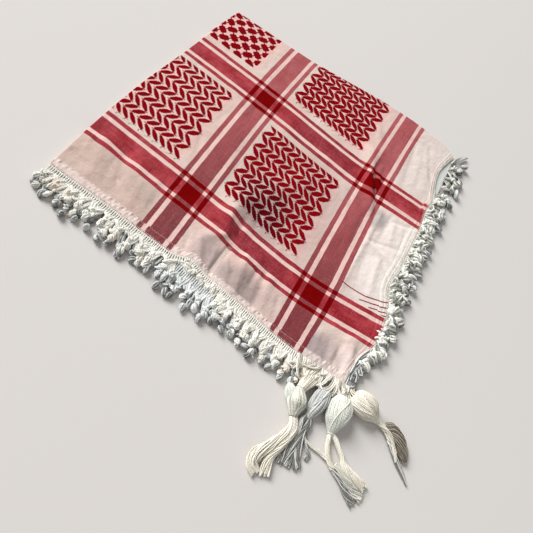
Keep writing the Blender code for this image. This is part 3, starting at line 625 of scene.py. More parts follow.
def clothMaterial(name, underShading=0.0):
    paint = Paint(name, 0.95, 0.006)
    cut = paint.coordinates("cut")
    plainU, plainV, _ = paint.axes(cut, 1000.0)
    wobble = (paint.noise(cut, 60.0, 3.0) - 0.5) * 1.6
    fray = (paint.noise(cut, 900.0, 1.0) - 0.5) * 1.2
    u, v = plainU + wobble + fray, plainV - wobble + fray
    soft = paint.noise(cut, 9.0, 3.0)
    worn = paint.remap(paint.noise(cut, 30.0, 4.0, (1, 1, 1), 0.65), 0.3, 0.75)

    def oval(placeU, placeV, reachU, reachV):
        # 0 at the place's middle and 1 at its rim
        return abs((plainU - placeU) / reachU) ** 2.0 + abs((plainV - placeV) / reachV) ** 2.0

    def near(value, middle, outer, inner):
        # 1 within the inner distance of the middle and 0 beyond the outer
        return paint.remap(abs(value - middle if middle else value), outer, inner)

    # what is red: bands either way, and the woven figures
    acrossStripe, acrossGap = stripes(v)
    downStripe, downGap = stripes(u)
    figure = anyOf([zigzag(u, v, block) for block in zigzags] + [barrelNet(u, v)])
    # the ground, with its soiled places and painted fold shade, its edges, and painted shade in their grooves
    colour = paint.mix(paint.remap(soft, 0.35, 0.65), weave["ground"], weave["groundPink"])
    acrossBlock = anyOf([near(u, *span) for span in weave["blocksAcross"]])
    downBlock = anyOf([near(v, *span) for span in weave["blocksDown"]])
    colour = paint.mix(acrossBlock * downBlock * 0.72, colour, weave["groundBlock"])
    for *place, tint, strength in tintsAndShade:
        away = oval(*place) + (soft - 0.5) * 1.2
        colour = paint.mix(paint.remap(away, 1.6, 0.2) * strength, colour, tint)
    besideBlock = near(plainV, *weave["besideBlock"])
    atEdge = paint.remap(plainU, *weave["paleEdge"])
    colour = paint.mix(atEdge * (besideBlock * 0.6 + 0.25), colour, weave["edge"])
    colour = paint.mix(paint.remap(plainV, *weave["paleHem"]) * 0.60, colour, weave["hem"])
    # painted shade along the two grooves of the right hem
    first, second = (abs(u - at).within(0.7, 0.9) for at in weave["grooves"])
    broken = paint.remap(paint.noise(cut, 26.0, 2.0), 0.42, 0.56)
    colour = paint.mix(first.most(second) * broken * (besideBlock * 0.45 + 0.3), colour, weave["grooveShade"])
    colour = paint.mix(acrossGap.most(downGap), colour, weave["gap"])
    # the reds: worn in places, the down bands darker towards the near hem, and painted shade on the across
    # bands beside the folds
    deep = paint.remap(plainV + (worn - 0.5) * 160.0, *weave["deepDown"])
    redDown = paint.mix(deep, weave["redDown"], weave["redDownDeep"])
    redDown = paint.mix(worn * (0.42 - deep * 0.26), redDown, weave["redDownWorn"])
    redAcross = paint.mix(worn, weave["redAcross"], weave["redAcrossWorn"])
    # painted shade: the across bands darker beside the middle and left folds
    foldShade = near(plainU, *weave["middleFoldShade"]) * 0.42 + near(plainU, *weave["leftFoldShade"]) * 0.34
    redAcross = paint.mix(foldShade, redAcross, weave["redAcrossShade"])
    colour = paint.mix(downStripe * 0.97, colour, redDown)
    colour = paint.mix(acrossStripe, colour, redAcross)
    colour = paint.mix(acrossStripe * downStripe, colour, weave["redBoth"])
    # painted shade: the figures darker in the middle block's hollow
    heartShade = oval(*weave["heartShade"]) + (worn - 0.5) * 0.8
    figureRed = paint.mix(paint.remap(heartShade, 1.4, 0.2) * 0.75, weave["figure"], weave["figureShade"])
    colour = paint.mix(figure, colour, figureRed)
    # single threads, a shade lighter or darker, both ways
    warp = paint.noise(cut, 700.0, 1.0, (1.0, 0.03, 1.0))
    weft = paint.noise(cut, 700.0, 1.0, (0.03, 1.0, 1.0))
    thread = (warp + weft) * 0.5
    grain = paint.noise(cut, 330.0, 3.0, (1, 1, 1), 0.7)
    reds = acrossStripe.most(downStripe) * (1.0 - acrossStripe * downStripe) * (1.0 - figure)
    bare = 1.0 - acrossStripe.most(downStripe).most(figure)
    light = reds * (0.07 - deep * 0.045 * paint.remap(plainU, 330.0, 460.0)) + bare * 0.02
    colour = paint.mix(paint.ramp(thread, 0.42, 0.66) * light, colour, weave["threadPale"])
    colour = paint.mix(paint.ramp(thread, 0.56, 0.36) * 0.10, colour, weave["threadDark"])
    dark = reds * 0.34 + figure * 0.22 + bare * 0.15 + 0.04
    colour = paint.mix(paint.ramp(grain, 0.42, 0.30) * dark, colour, weave["grainDark"])
    pale = reds * 0.20 + bare * 0.12
    colour = paint.mix(paint.ramp(grain, 0.58, 0.72) * pale, colour, weave["grainPale"])
    # marks in the right border, and a brown-grey line along its edge at the far end
    colour = paint.mix(borderMarks(u, v, plainV, wobble), colour, weave["mark"])
    darkened = paint.remap(plainU, *weave["brownEdgeAcross"]) * paint.remap(plainV, *weave["brownEdgeDown"])
    colour = paint.mix(darkened * (worn * 0.5 + 0.4), colour, weave["edgeBrownGrey"])
    # painted shade: the hidden layers greyed all over, and most towards their edges
    if underShading:
        underShade = paint.remap(abs(plainU), *weave["underEdge"]) * 0.75 + underShading
        colour = paint.mix(underShade, colour, weave["underShadeColour"])
    crinkle = paint.noise(cut, 55.0, 5.0, (1, 1, 1), 0.6)
    return paint.finish(colour, ((2.6, crinkle), (0.3, thread), (0.3, figure)))


# the ply's pitch in metres, and the colour that the painted shade on the lowest threads draws to
threadLook = {"ply": 0.0045, "lowShade": (0.075, 0.075, 0.07)}


def threadMaterial(name, light, shade, scale=30.0, warm=None, deep=0.0, variety=0.5, darkened=0.0,
                   deepFrom=6.0):
    # two-ply thread in patches of two colours, a third warm colour in places, and painted shade that darkens
    # the lowest threads and a few whole threads
    paint = Paint(name, 0.85, 0.01)
    place = paint.coordinates()
    along, turn, _ = paint.axes(paint.coordinates("thread"))
    own = ((turn.floor() * 12.9898).sine() * 437.58).fract()  # each thread's own shade
    patch = paint.remap(paint.noise(place, scale, 3.0) + (own - 0.5) * variety, 0.35, 0.68)
    colour = paint.mix(patch, light, shade)
    if warm:
        some = paint.remap(paint.noise(place, 24.0, 2.0) + (own - 0.5) * 0.1, 0.54, 0.70)
        colour = paint.mix(some * 0.7, colour, warm)
    if deep:
        # painted shade: the lower a thread lies under the given height, the darker it is
        _, _, level = paint.axes(place, 1000.0)
        colour = paint.mix(paint.remap(level, deepFrom, 1.0) * deep, colour, threadLook["lowShade"])
    # painted shade: a few whole threads made dark, standing for the dark lines between strands
    if darkened:
        colour = paint.mix(paint.remap(own, 0.74, 0.84) * darkened, colour, tuple(c * 0.32 for c in shade))
    ply = ((along / threadLook["ply"] + turn * 2.0).fract() - 0.5) * 2.0
    twist = 1.0 - abs(ply) ** 2.0
    # painted shade in the grooves between the plies
    colour = paint.mix(twist.within(0.35, 0.5) * 0.22, colour, tuple(c * 0.5 for c in shade))
    fuzz = paint.noise(place, 1500.0, 2.0)
    return paint.finish(colour, ((0.22, twist), (0.15, fuzz)))


clothPaint = clothMaterial("woven_cotton")
underPaint = clothMaterial("woven_cotton_under", 0.20)
hemThread = threadMaterial("hem_thread", (0.95, 0.90, 0.83), (0.80, 0.74, 0.66), scale=60.0)
combThread = threadMaterial("comb_thread", (1.0, 0.975, 0.90), (0.95, 0.92, 0.84), scale=80.0)
combShade = threadMaterial("comb_thread_under", (0.97, 0.98, 0.96), (0.74, 0.77, 0.75), scale=80.0)
fringeThread = threadMaterial("fringe_thread", (1.0, 0.975, 0.90), (0.86, 0.84, 0.76), scale=45.0,
                              warm=(0.90, 0.79, 0.68), deep=0.6)
# painted shade: this finish darkens its threads from 10.5 mm down, most of the right fringe
fringeRight = threadMaterial("fringe_thread_right", (1.0, 0.99, 0.92), (0.42, 0.42, 0.37), scale=45.0,
                             deep=0.95, deepFrom=10.5, variety=1.2, darkened=0.3)
# painted shade: a darker copy of the fringe thread for the rows that lie below
fringeShade = threadMaterial("fringe_thread_under", (0.80, 0.815, 0.80), (0.30, 0.305, 0.295),
                             deep=0.85, variety=1.2)
tasselCream = threadMaterial("tassel_cream", (1.0, 0.965, 0.855), (0.99, 0.92, 0.79), darkened=0.20)
tasselMixed = threadMaterial("tassel_mixed", (1.0, 0.97, 0.87), (0.80, 0.80, 0.70), scale=24.0,
                             warm=(0.98, 0.90, 0.77), variety=0.8, darkened=0.45)
tasselGreen = threadMaterial("tassel_green", (0.97, 0.97, 0.89), (0.80, 0.82, 0.74), warm=(0.98, 0.93, 0.80))
tasselGrey = threadMaterial("tassel_grey", (0.93, 0.93, 0.90), (0.68, 0.69, 0.67), darkened=0.25)
tasselAsh = threadMaterial("tassel_ash", (0.80, 0.79, 0.74), (0.26, 0.26, 0.24), scale=25.0, deep=0.2,
                           variety=1.6)
tasselDark = threadMaterial("tassel_dark", (0.45, 0.40, 0.325), (0.21, 0.185, 0.145), scale=22.0,
                            variety=0.7)
frillThread = threadMaterial("frill_thread", (1.0, 0.96, 0.86), (0.78, 0.73, 0.62), variety=1.0, darkened=0.45)
strandThread = threadMaterial("strand_thread", (0.86, 0.87, 0.86), (0.34, 0.345, 0.34), variety=1.4,
                              darkened=0.75)


def dress(piece, paint, replaced=()):
    # a piece's finish, what it rides on, and the nodes it stands for
    piece.data.materials.clear()
    piece.data.materials.append(paint)
    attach(piece, "root")
    if replaced:
        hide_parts(*replaced)
    return piece


print("materials ready")

# The uppermost layer, one sheet that turns over both folds
topSheet = {
    "columns": 196, "rows": 200, "leftTurns": 8, "farTurns": 12, "wall": 1.0, "end": 597.0,
    "creaseDepth": 1.66, "swell": 0.60, "fineSwell": 0.26,
    "drop": 0.5, "dropFrom": 584.0, "dropReach": 6.0,  # how it lies lower under the near hem
    "edgeBlend": 24.0,  # how far in from a fold the sheet begins to draw back for its turn
}


def surface(plan):
    # all that shapes the uppermost layer
    coarse = topSheet["swell"] * rumple(plan, 46, 1.3)
    fine = topSheet["fineSwell"] * rumple(plan, 17, 2.6) * (0.6 + 0.4 * rumple(plan, 90, 5.2))
    return clothHeight(plan) + topSheet["creaseDepth"] * reliefOf(plan, creases) + coarse + fine


def awayFromLeft(down):
    return squareTo(unit(lay(0, down + 6) - lay(0, down - 6)))


def awayFromFar(across):
    return -squareTo(unit(lay(across + 6, 0) - lay(across - 6, 0)))


def foldedPlaces(across, down, leftTurn, farTurn):
    # places of the uppermost layer; turns go from 0, on top, to 1, at the end of a fold's turn
    plan = lay(across, down)
    height = surface(plan)
    left, far = awayFromLeft(down), awayFromFar(across)
    leftNear = fading(across, topSheet["edgeBlend"])[:, None]
    farNear = fading(down, topSheet["edgeBlend"])[:, None]
    plan = plan - left * leftNear * height[:, None] / 4 - far * farNear * height[:, None] / 2
    turn = np.maximum(leftTurn, farTurn)
    most = np.maximum(turn, 1e-9)
    share = np.where(leftTurn >= farTurn, 0.5 * farTurn / most, 1 - 0.5 * leftTurn / most)
    direction = unit(left * np.cos(share * math.pi / 2)[:, None] + far * np.sin(share * math.pi / 2)[:, None])
    radius = height * (1 + share) / 4
    angle = math.pi * (0.5 - turn)
    turned = plan + direction * (radius * np.cos(angle))[:, None]
    level = height - radius + radius * np.sin(angle)
    return np.where(turn[:, None] > 0, turned, plan), np.where(turn > 0, level, height)


def ringed(turns, end, count):
    # places along one side of the sheet, with the turns of a fold before them
    return (np.concatenate([np.zeros(turns), np.linspace(0, end, count)]),
            np.concatenate([np.linspace(1, 0, turns, endpoint=False), np.zeros(count)]))


acrossPlaces, leftTurns = ringed(topSheet["leftTurns"], topSheet["end"], topSheet["columns"])
downPlaces, farTurns = ringed(topSheet["farTurns"], topSheet["end"], topSheet["rows"])
patternedCloth, column, row = makeGrid("patternedCloth", len(acrossPlaces), len(downPlaces))
across, down = acrossPlaces[column], downPlaces[row]
plan, height = foldedPlaces(across, down, leftTurns[column], farTurns[row])
drop = np.clip((down - topSheet["dropFrom"]) / topSheet["dropReach"], 0, 1) * topSheet["drop"]
setPlaces(patternedCloth, toWorld(plan, height - drop))
cutAcross, cutDown = flatCut(across, down)
roundLeft, roundFar = math.pi * layout["stack"] / 4, math.pi * layout["stack"] / 2  # lengths round the folds
setFlat(patternedCloth, cutAcross - leftTurns[column] * roundLeft, cutDown - farTurns[row] * roundFar)
thicken(patternedCloth, topSheet["wall"])
dress(patternedCloth, clothPaint, ["top_layer"])
print("uppermost layer ready")

# The layers under it: one single layer, and a folded pair that rolls over at the left
underLayers = {
    "wall": 1.0, "bottom": 1.08, "secondGap": 1.9, "pairLimit": 5.4,
    "secondTop": 0.70, "pairTop": 0.46,  # as shares of the uppermost layer's height
    "hemWave": 0.45, "hemFrom": 500.0, "insetReach": 60.0,
    "secondInset": 1.0, "thirdInset": 2.6, "fourthInset": 0.6,
    "secondStart": (3.2, 4.0), "pairStart": 5.6,
    "cells": 96, "pairColumns": 70, "pairRows": 80, "rollTurns": 8,
}


def underPlan(across, down, inset):
    # plan places of a hidden layer, drawn in a little at its two hems
    plan = lay(across, down, "hiddenRight", "hiddenNear")
    for axis, place in enumerate((across, down)):
        plan[:, axis] -= fading(quarter - place, underLayers["insetReach"]) * inset
    return plan


cells = underLayers["cells"]
secondLayer, column, row = makeGrid("secondLayer", cells, cells)
across, down = (start + np.linspace(0, 1, cells)[index] * (quarter - start)
                for start, index in zip(underLayers["secondStart"], (column, row)))
plan = underPlan(across, down, underLayers["secondInset"])
level = np.minimum(clothHeight(plan) * underLayers["secondTop"], clothHeight(plan) - underLayers["secondGap"])
level += underLayers["hemWave"] * rumple(plan, 19, 4.1) * (down > underLayers["hemFrom"])
setPlaces(secondLayer, toWorld(plan, level))
cutAcross, cutDown = flatCut(across, down)
setFlat(secondLayer, -cutAcross, cutDown)
thicken(secondLayer, underLayers["wall"])
dress(secondLayer, underPaint)

# The pair is one grid, from the lowest layer's hem to the left, round the roll and back
flat, rolled, rows = underLayers["pairColumns"], underLayers["rollTurns"], underLayers["pairRows"]
inward = np.linspace(quarter, 0, flat)
acrossPlaces = np.concatenate([inward, np.zeros(rolled - 1), np.linspace(0, quarter, flat)])
turnPlaces = np.concatenate([np.zeros(flat), np.linspace(0, 1, rolled + 1)[1:-1], np.ones(flat)])
foldedPair, column, row = makeGrid("foldedPair", len(acrossPlaces), rows)
across, turn = acrossPlaces[column], turnPlaces[column]
down = underLayers["pairStart"] + np.linspace(0, 1, rows)[row] * (quarter - underLayers["pairStart"])
plan = underPlan(across, down, np.where(turn < 0.5, underLayers["fourthInset"], underLayers["thirdInset"]))
left = awayFromLeft(down)
top = np.minimum(clothHeight(plan) * underLayers["pairTop"], underLayers["pairLimit"])
radius = (top - underLayers["bottom"]) / 2
plan = plan - left * fading(across, topSheet["edgeBlend"])[:, None] * radius[:, None]
swing = math.pi * (turn - 0.5)
plan = plan + left * (radius * np.cos(swing) * ((turn > 0) & (turn < 1)))[:, None]
upper = turn > 0.5
level = underLayers["bottom"] + radius * (1 + np.sin(swing))
level += underLayers["hemWave"] * rumple(plan, 23, 2.2) * upper * (down > underLayers["hemFrom"])
setPlaces(foldedPair, toWorld(plan, level))
cutAcross, cutDown = flatCut(across, down)
setFlat(foldedPair, np.where(upper, cutAcross, -cutAcross), -cutDown)
thicken(foldedPair, -underLayers["wall"])
dress(foldedPair, underPaint, ["hidden_layers"])
print("under layers ready")

# The turned hem along the near side and the rolled one along the right
hems = {
    "nearHem": {
        "side": "near", "start": 1.0, "end": 599.0, "columns": 520, "wall": 0.5,
        "pucker": 0.95, "seam": 583.2, "width": ((0, 1.0), (600, 1.0)),
        "profile": ((580.6, -0.35), (581.3, 0.25), (582.4, 0.55), (583.4, 0.35), (584.6, 0.80),
                    (587.0, 1.05), (590.0, 1.05), (593.0, 0.95), (596.5, 0.90), (599.3, 0.55),
                    (600.4, -0.20), (600.2, -0.90), (598.8, -1.50), (595.0, -1.70)),
    },
    "rightHem": {
        "side": "right", "start": 596.0, "end": 6.0, "columns": 360, "wall": 0.5,
        "pucker": 0.18, "seam": 590.0,
        "width": ((0, 0.5), (180, 0.5), (200, 0.52), (235, 0.70), (250, 0.72), (420, 0.72), (435, 0.70),
                  (470, 0.52), (490, 0.5), (600, 0.5)),
        "profile": ((575.0, -0.30), (575.8, 0.30), (577.2, 0.60), (580.5, 0.62), (584.6, 0.55), (586.2, 0.05),
                    (587.6, 0.60), (591.8, 0.75), (593.4, 0.15), (594.8, 0.85), (597.6, 0.80), (599.9, 0.10),
                    (600.0, -0.85), (598.4, -1.50), (595.5, -1.70)),
    },
}


def puckers(place, offset):
    # uneven little gathers that a tight seam leaves
    slant = (offset - 590) * 0.35
    first = np.sin((place + slant) / 1.06 + 1.9 * np.sin(place / 11.3))
    second = np.sin((place - slant) / 1.63 + 1.3 * np.sin(place / 17.1 + 1.0))
    third = np.sin((place + 2 * slant) / 2.9 + 1.7 * np.sin(place / 29.0))
    return (0.45 * first + 0.55 * second + 0.5 * third) * (0.7 + 0.4 * np.sin(place / 23.0 + offset / 9.0))


def hemStrip(name):
    # the hem's profile is distance across it and rise, and its width table scales it along its length
    style = hems[name]
    profile = np.array(style["profile"])
    piece, column, row = makeGrid(name, style["columns"], len(profile))
    place = style["start"] + (style["end"] - style["start"]) * column / (style["columns"] - 1)
    offset = quarter - (quarter - profile[row, 0]) * readTable(style["width"], place)
    across, down = (place, offset) if style["side"] == "near" else (offset, place)
    plan = lay(across, down)
    middle = np.clip(np.sin(math.pi * row / (len(profile) - 1)), 0, 1) ** 0.5
    atSeam = 0.55 + 0.9 * np.exp(-(((offset - style["seam"]) / 4.0) ** 2))
    gathers = style["pucker"] * puckers(place, offset) * middle * atSeam
    setPlaces(piece, toWorld(plan, surface(plan) + profile[row, 1] + gathers))
    kink = 1.1 * np.sin(place / 9.0)
    if style["side"] == "near":
        setFlat(piece, across + kink * 0.5 + 1.5, down)
    else:
        setFlat(piece, profile[row, 0], down + kink * 0.5)
    thicken(piece, style["wall"])
    return dress(piece, clothPaint)


nearHem, rightHem = hemStrip("nearHem"), hemStrip("rightHem")
print("hems ready")


def hemFrame(place, side, hidden):
    # places along a hem, its run and its outward way; beyond its ends the hem is taken as straight
    names = ("hiddenRight", "hiddenNear") if hidden else ("right", "near")
    held = np.clip(place, 4, quarter - 4)

    def point(shift):
        return lay(held + shift, quarter, *names) if side == "near" else lay(quarter, held - shift, *names)

    run = unit(point(3) - point(-3))
    beyond = place - held if side == "near" else held - place
    return point(0) + run * beyond[:, None], run, squareTo(run)


def hemHeight(at, hidden):
    # the hidden hems don't follow the folds of the uppermost layer
    return np.full(len(at), layout["stack"]) if hidden else clothHeight(at)


# Stitches over the edges and along the near hem's seam
stitching = {"pitch": 2.35, "underPitch": 4.8, "thread": 0.46, "reach": 4.6,
             "seamPitch": 3.6, "seamLong": 2.5, "seamThread": 0.3, "seamInset": 583.4, "seamLift": 0.8}


def whippedEdge(bundle, side, hidden, start, end, topLevel, bottomLevel):
    # short stitches that go over the edge, from above to below
    chance = np.random.default_rng(21)
    count = int((end - start) / stitching["underPitch" if hidden else "pitch"])
    place = np.linspace(start, end, count) + chance.uniform(-0.35, 0.35, count)
    at, run, out = hemFrame(place, side, hidden)
    high, low = hemHeight(at, hidden) + topLevel, hemHeight(at, hidden) + bottomLevel
    reach = stitching["reach"] * chance.uniform(0.8, 1.15, count)
    lean = chance.uniform(0.3, 0.9, count)
    outs = [-reach, -reach * 0.6, -reach * 0.15, np.full(count, 0.75), np.full(count, 0.7), -reach * 0.3]
    levels = [high - 0.15, high + 0.3, high + 0.1, (high + low) / 2 + 0.2, low, low - 0.3]
    shift = np.linspace(0, 1, len(outs))[None, :] * lean[:, None]
    plan = at[:, None] + out[:, None] * np.stack(outs, 1)[..., None] + run[:, None] * shift[..., None]
    bundle.threads(toWorld(plan, np.stack(levels, 1)), np.full((count, len(outs)), stitching["thread"] * mm))


def seamLine(bundle, start, end):
    # running stitches along the near hem, each one up, along and down again
    chance = np.random.default_rng(22)
    count = int((end - start) / stitching["seamPitch"])
    place = np.linspace(start, end, count) + chance.uniform(-0.3, 0.3, count)
    paths = []
    for share, rise in ((-0.5, -0.25), (-0.25, 0.12), (0.25, 0.12), (0.5, -0.25)):
        plan = lay(place + share * stitching["seamLong"], stitching["seamInset"])
        paths.append(toWorld(plan, surface(plan) + stitching["seamLift"] + rise))
    bundle.threads(np.stack(paths, 1), np.full((count, len(paths)), stitching["seamThread"] * mm))


edging = Bundle()
whippedEdge(edging, "near", False, 2, 597, 0.75, -1.6)
whippedEdge(edging, "right", False, 10, 592, 0.95, -1.6)
seamLine(edging, 3, 590)
hemStitches = dress(edging.make("hemStitches"), hemThread)

underEdging = Bundle()
for top, bottom, inset in ((-2.6, -3.9, 0), (-6.6, -7.6, 1)):
    whippedEdge(underEdging, "near", True, 2 + inset, 597 - inset, top, bottom)
    whippedEdge(underEdging, "right", True, 4 + inset, 592 - 2 * inset, top, bottom)
underStitches = dress(underEdging.make("underStitches"), hemThread)
print("stitches ready")

# The open threads that leave the woven edge, before they're knotted
combs = {
    "nearOpenThreads": {
        "side": "near", "hidden": False, "start": 4, "end": 556, "pitch": 3.7, "thread": 1.22,
        "inner": -0.5, "outer": 13.0, "level": 0.5, "paint": combThread, "slot": "front_fringe_upper",
        "twine": {"start": 3, "end": 592, "level": 0.35, "thread": 0.72},
    },
    "rightOpenThreads": {
        "side": "right", "hidden": False, "start": 588, "end": 120, "pitch": 3.9, "thread": 1.15,
        "inner": -0.5, "outer": 5.5, "level": 0.0, "paint": combThread, "slot": "right_fringe_upper",
        "twine": {"start": 592, "end": 6, "level": 0.3, "thread": 0.62},
    },
    "hiddenOpenThreads": {
        "side": "near", "hidden": True, "start": 232, "end": 352, "pitch": 3.7, "thread": 1.25,
        "inner": -3.0, "outer": 19.0, "level": -1.6, "paint": combShade, "slot": "front_fringe_lower",
    },
}


def comb(bundle, style):
    # single threads side by side, straight out from the hem
    chance = np.random.default_rng(23)
    count = int(abs(style["end"] - style["start"]) / style["pitch"])
    place = np.linspace(style["start"], style["end"], count) + chance.uniform(-0.25, 0.25, count)
    at, run, out = hemFrame(place, style["side"], style["hidden"])
    base = hemHeight(at, style["hidden"]) + style["level"]
    steps = np.linspace(0, 1, 6)[None, :]
    lean = chance.normal(0, 0.5, count)
    outs = style["inner"] + steps * (style["outer"] - style["inner"]) * chance.uniform(0.9, 1.06, (count, 1))
    levels = base[:, None] + 0.7 * np.sin(math.pi * steps) - 1.0 * steps ** 2
    shift = lean[:, None] * steps ** 2
    plan = at[:, None] + out[:, None] * outs[..., None] + run[:, None] * shift[..., None]
    bundle.threads(toWorld(plan, levels), np.full(outs.shape, style["thread"] * mm), 6)


def twined(bundle, side, twine, points=520):
    # a thin cord of two threads that holds the open ones
    place = np.linspace(twine["start"], twine["end"], points)
    at, _, out = hemFrame(place, side, False)
    paths = []
    for phase in (0.0, math.pi):
        turn = place / 0.85 + phase
        plan = at + out * (0.4 + twine["thread"] * np.cos(turn))[:, None]
        paths.append(toWorld(plan, clothHeight(at) + twine["level"] + twine["thread"] * np.sin(turn)))
    bundle.threads(np.array(paths), np.full((2, points), twine["thread"] * mm))


def openThreads(name):
    style = combs[name]
    bundle = Bundle()
    if "twine" in style:
        twined(bundle, style["side"], style["twine"])
    comb(bundle, style)
    return dress(bundle.make(name), style["paint"])


nearOpenThreads, rightOpenThreads = openThreads("nearOpenThreads"), openThreads("rightOpenThreads")
openThreads("hiddenOpenThreads")

# The knotted fringe: threads leave the hem in groups, part, and are knotted to their neighbours
# How the rows' reach and lean change along the hem
nearReach = (  # turned back in the middle
    (-20, 0.74), (8, 0.82), (30, 0.95), (60, 1.0), (80, 1.0), (210, 1.0), (222, 0.98), (246, 0.50),
    (290, 0.36), (334, 0.46), (356, 0.96), (368, 1.0), (620, 1.0),
)
nearLowReach = ((-20, 0.62), (8, 0.68), (30, 0.90), (60, 1.0), (80, 1.0), (620, 1.0))
rightReach = ((-20, 1.0), (400, 1.0), (600, 0.8))
rightLowReach = ((-20, 0.85), (60, 1.0), (250, 0.95), (380, 0.85), (480, 0.7), (600, 0.55))
nearLean = ((-20, -7), (20, -5), (70, 0), (620, 0))
rightLean = ((-20, 38), (20, 16), (70, 0), (600, 0))
noLean = ((-20, 0), (620, 0))
# What the rows of one hem share
nearUpper = {"side": "near", "hidden": False, "rootWidth": 13.0, "grow": 1.0, "reach": nearReach,
             "lean": nearLean, "paint": fringeThread, "slot": "front_fringe_upper"}
nearLower = {"side": "near", "hidden": True, "rootWidth": 15.0, "grow": 1.0, "reach": nearLowReach,
             "lean": nearLean, "paint": fringeShade, "slot": "front_fringe_lower"}
rightUpper = {"side": "right", "hidden": False, "rootWidth": 12.0, "grow": 1.5, "reach": rightReach,
              "lean": noLean, "paint": fringeRight, "slot": "right_fringe_upper"}
rightLower = {"side": "right", "hidden": True, "rootWidth": 13.0, "rootOut": 1.0, "reach": rightLowReach,
              "lean": rightLean, "paint": fringeRight, "slot": "right_fringe_lower"}
# Knot, ball and tip are distances out from the hem; root is a height from the top of the cloth there,
# and the other levels are heights above the table
fringeRows = {
    "nearFringe": {
        **nearUpper, "start": 7, "end": 530, "pitch": 22.5, "seed": 31, "loops": 34, "root": -1.2,
        "rootOut": 11.0, "knot": 22, "knotLevel": 8.6, "ball": 33, "ballLevel": 8.4, "tip": 38,
        "replaced": ["front_fringe_upper"],
    },
    "nearFringeLong": {
        **nearUpper, "start": 13, "end": 532, "pitch": 22.0, "seed": 37, "loops": 22, "root": -2.2,
        "rootOut": 10.0, "knot": 32, "knotLevel": 6.8, "ball": 44, "ballLevel": 6.8, "tip": 50,
    },
    "nearFringeMiddle": {
        **nearLower, "start": 234, "end": 354, "pitch": 19.5, "seed": 39, "loops": 16, "root": -3.4,
        "rootOut": 14.0, "knot": 28, "knotLevel": 6.4, "ball": 39, "ballLevel": 6.6, "tip": 45,
        "lean": noLean, "paint": combShade,
    },
    "nearFringeBelow": {
        **nearLower, "start": 10, "end": 522, "pitch": 18.6, "seed": 32, "loops": 20, "root": -4.8,
        "rootOut": 4.0, "knot": 36, "knotLevel": 4.4, "ball": 49, "ballLevel": 5.0, "tip": 55,
        "replaced": ["front_fringe_lower"],
    },
    "rightFringe": {
        **rightUpper, "start": 540, "end": 124, "pitch": 28.5, "seed": 34, "loops": 16, "root": -1.0,
        "rootOut": 3.5, "knot": 10, "knotLevel": 9.6, "ball": 19, "ballLevel": 8.8, "tip": 24,
        "replaced": ["right_fringe_upper"],
    },
    "rightFringeLong": {
        **rightUpper, "start": 506, "end": 132, "pitch": 34.0, "seed": 38, "loops": 6, "root": -2.0,
        "rootOut": 3.0, "knot": 18, "knotLevel": 7.6, "ball": 28, "ballLevel": 7.0, "tip": 33,
    },
    "rightFringeBelow": {
        **rightLower, "start": 524, "end": 4, "pitch": 27.4, "seed": 35, "loops": 14, "root": -4.0,
        "grow": 1.42, "knot": 15, "knotLevel": 6.2, "ball": 27, "ballLevel": 6.8, "tip": 32,
        "replaced": ["right_fringe_lower"],
    },
    "rightFringeLowest": {
        **rightLower, "start": 500, "end": -4, "pitch": 32.0, "seed": 36, "loops": 8, "root": -6.4,
        "grow": 1.4, "knot": 24, "knotLevel": 4.6, "ball": 36, "ballLevel": 5.4, "tip": 41,
        "paint": fringeShade,
    },
}
fringeMake = {
    "legThreads": 3, "thread": 1.80, "knotSize": 1.45, "knotThread": 1.5, "tuft": 4, "tuftThread": 1.1,
    "ballThreads": 7, "ballThread": 1.55, "ballLong": 12.5, "ballWide": 12.0, "ballThick": 10.5,
}


def heldAbove(paths, least):
    # nothing goes lower than the least height, in mm
    paths[..., 2] = np.maximum(paths[..., 2], least * mm)
    return paths


def cores(middle, axis, side, up, long, wide, thick, count=6, sides=8):
    # plain eggs that fill the gathered balls
    t = np.linspace(0.04, 0.96, count)
    angle = 2 * math.pi * np.arange(sides) / sides
    swell = np.sin(math.pi * t) ** 0.6
    x, y = np.cos(angle)[None, :] * swell[:, None], np.sin(angle)[None, :] * swell[:, None]
    long, wide, thick = (size[:, None, None, None] for size in (long, wide, thick))
    rings = (middle[:, None, None, :] + axis[:, None, None, :] * ((t - 0.5)[None, :, None, None] * long)
             + side[:, None, None, :] * (x[None, ..., None] * wide / 2)
             + up[:, None, None, :] * (y[None, ..., None] * thick / 2))
    return heldAbove(rings, 0.4)


def gathered(bundle, middle, axis, side, up, long, wide, thick, threads, thread, chance, points=8):
    # balls of thread drawn together at both ends
    count = len(middle)
    t = np.linspace(0, 1, points)[None, :]
    twist = chance.uniform(-2.0, 2.0, (count, 1))
    for k in range(threads):
        angle = 2 * math.pi * (k + chance.uniform(-0.3, 0.3, (count, 1))) / threads + twist * (t - 0.5)
        swell = np.sin(math.pi * t) ** chance.uniform(0.45, 0.8, (count, 1))
        bulge = swell * chance.uniform(0.86, 1.14, (count, 1)) + 0.12
        x = np.cos(angle) * bulge * (wide / 2 - thread * mm)[:, None]
        y = np.sin(angle) * bulge * (thick / 2 - thread * mm)[:, None]
        z = (t - 0.5 + chance.uniform(-0.06, 0.06, (count, 1))) * long[:, None]
        paths = (middle[:, None] + side[:, None] * x[..., None] + up[:, None] * y[..., None]
                 + axis[:, None] * z[..., None])
        radii = np.full((count, points), thread * mm) * chance.uniform(0.82, 1.15, (count, 1))
        bundle.threads(heldAbove(paths, thread * 1.15 + 0.1), radii)
    less = thread * 3.0 * mm
    bundle.lofts(cores(middle, axis, side, up, long * 0.9, wide - less, thick - less))


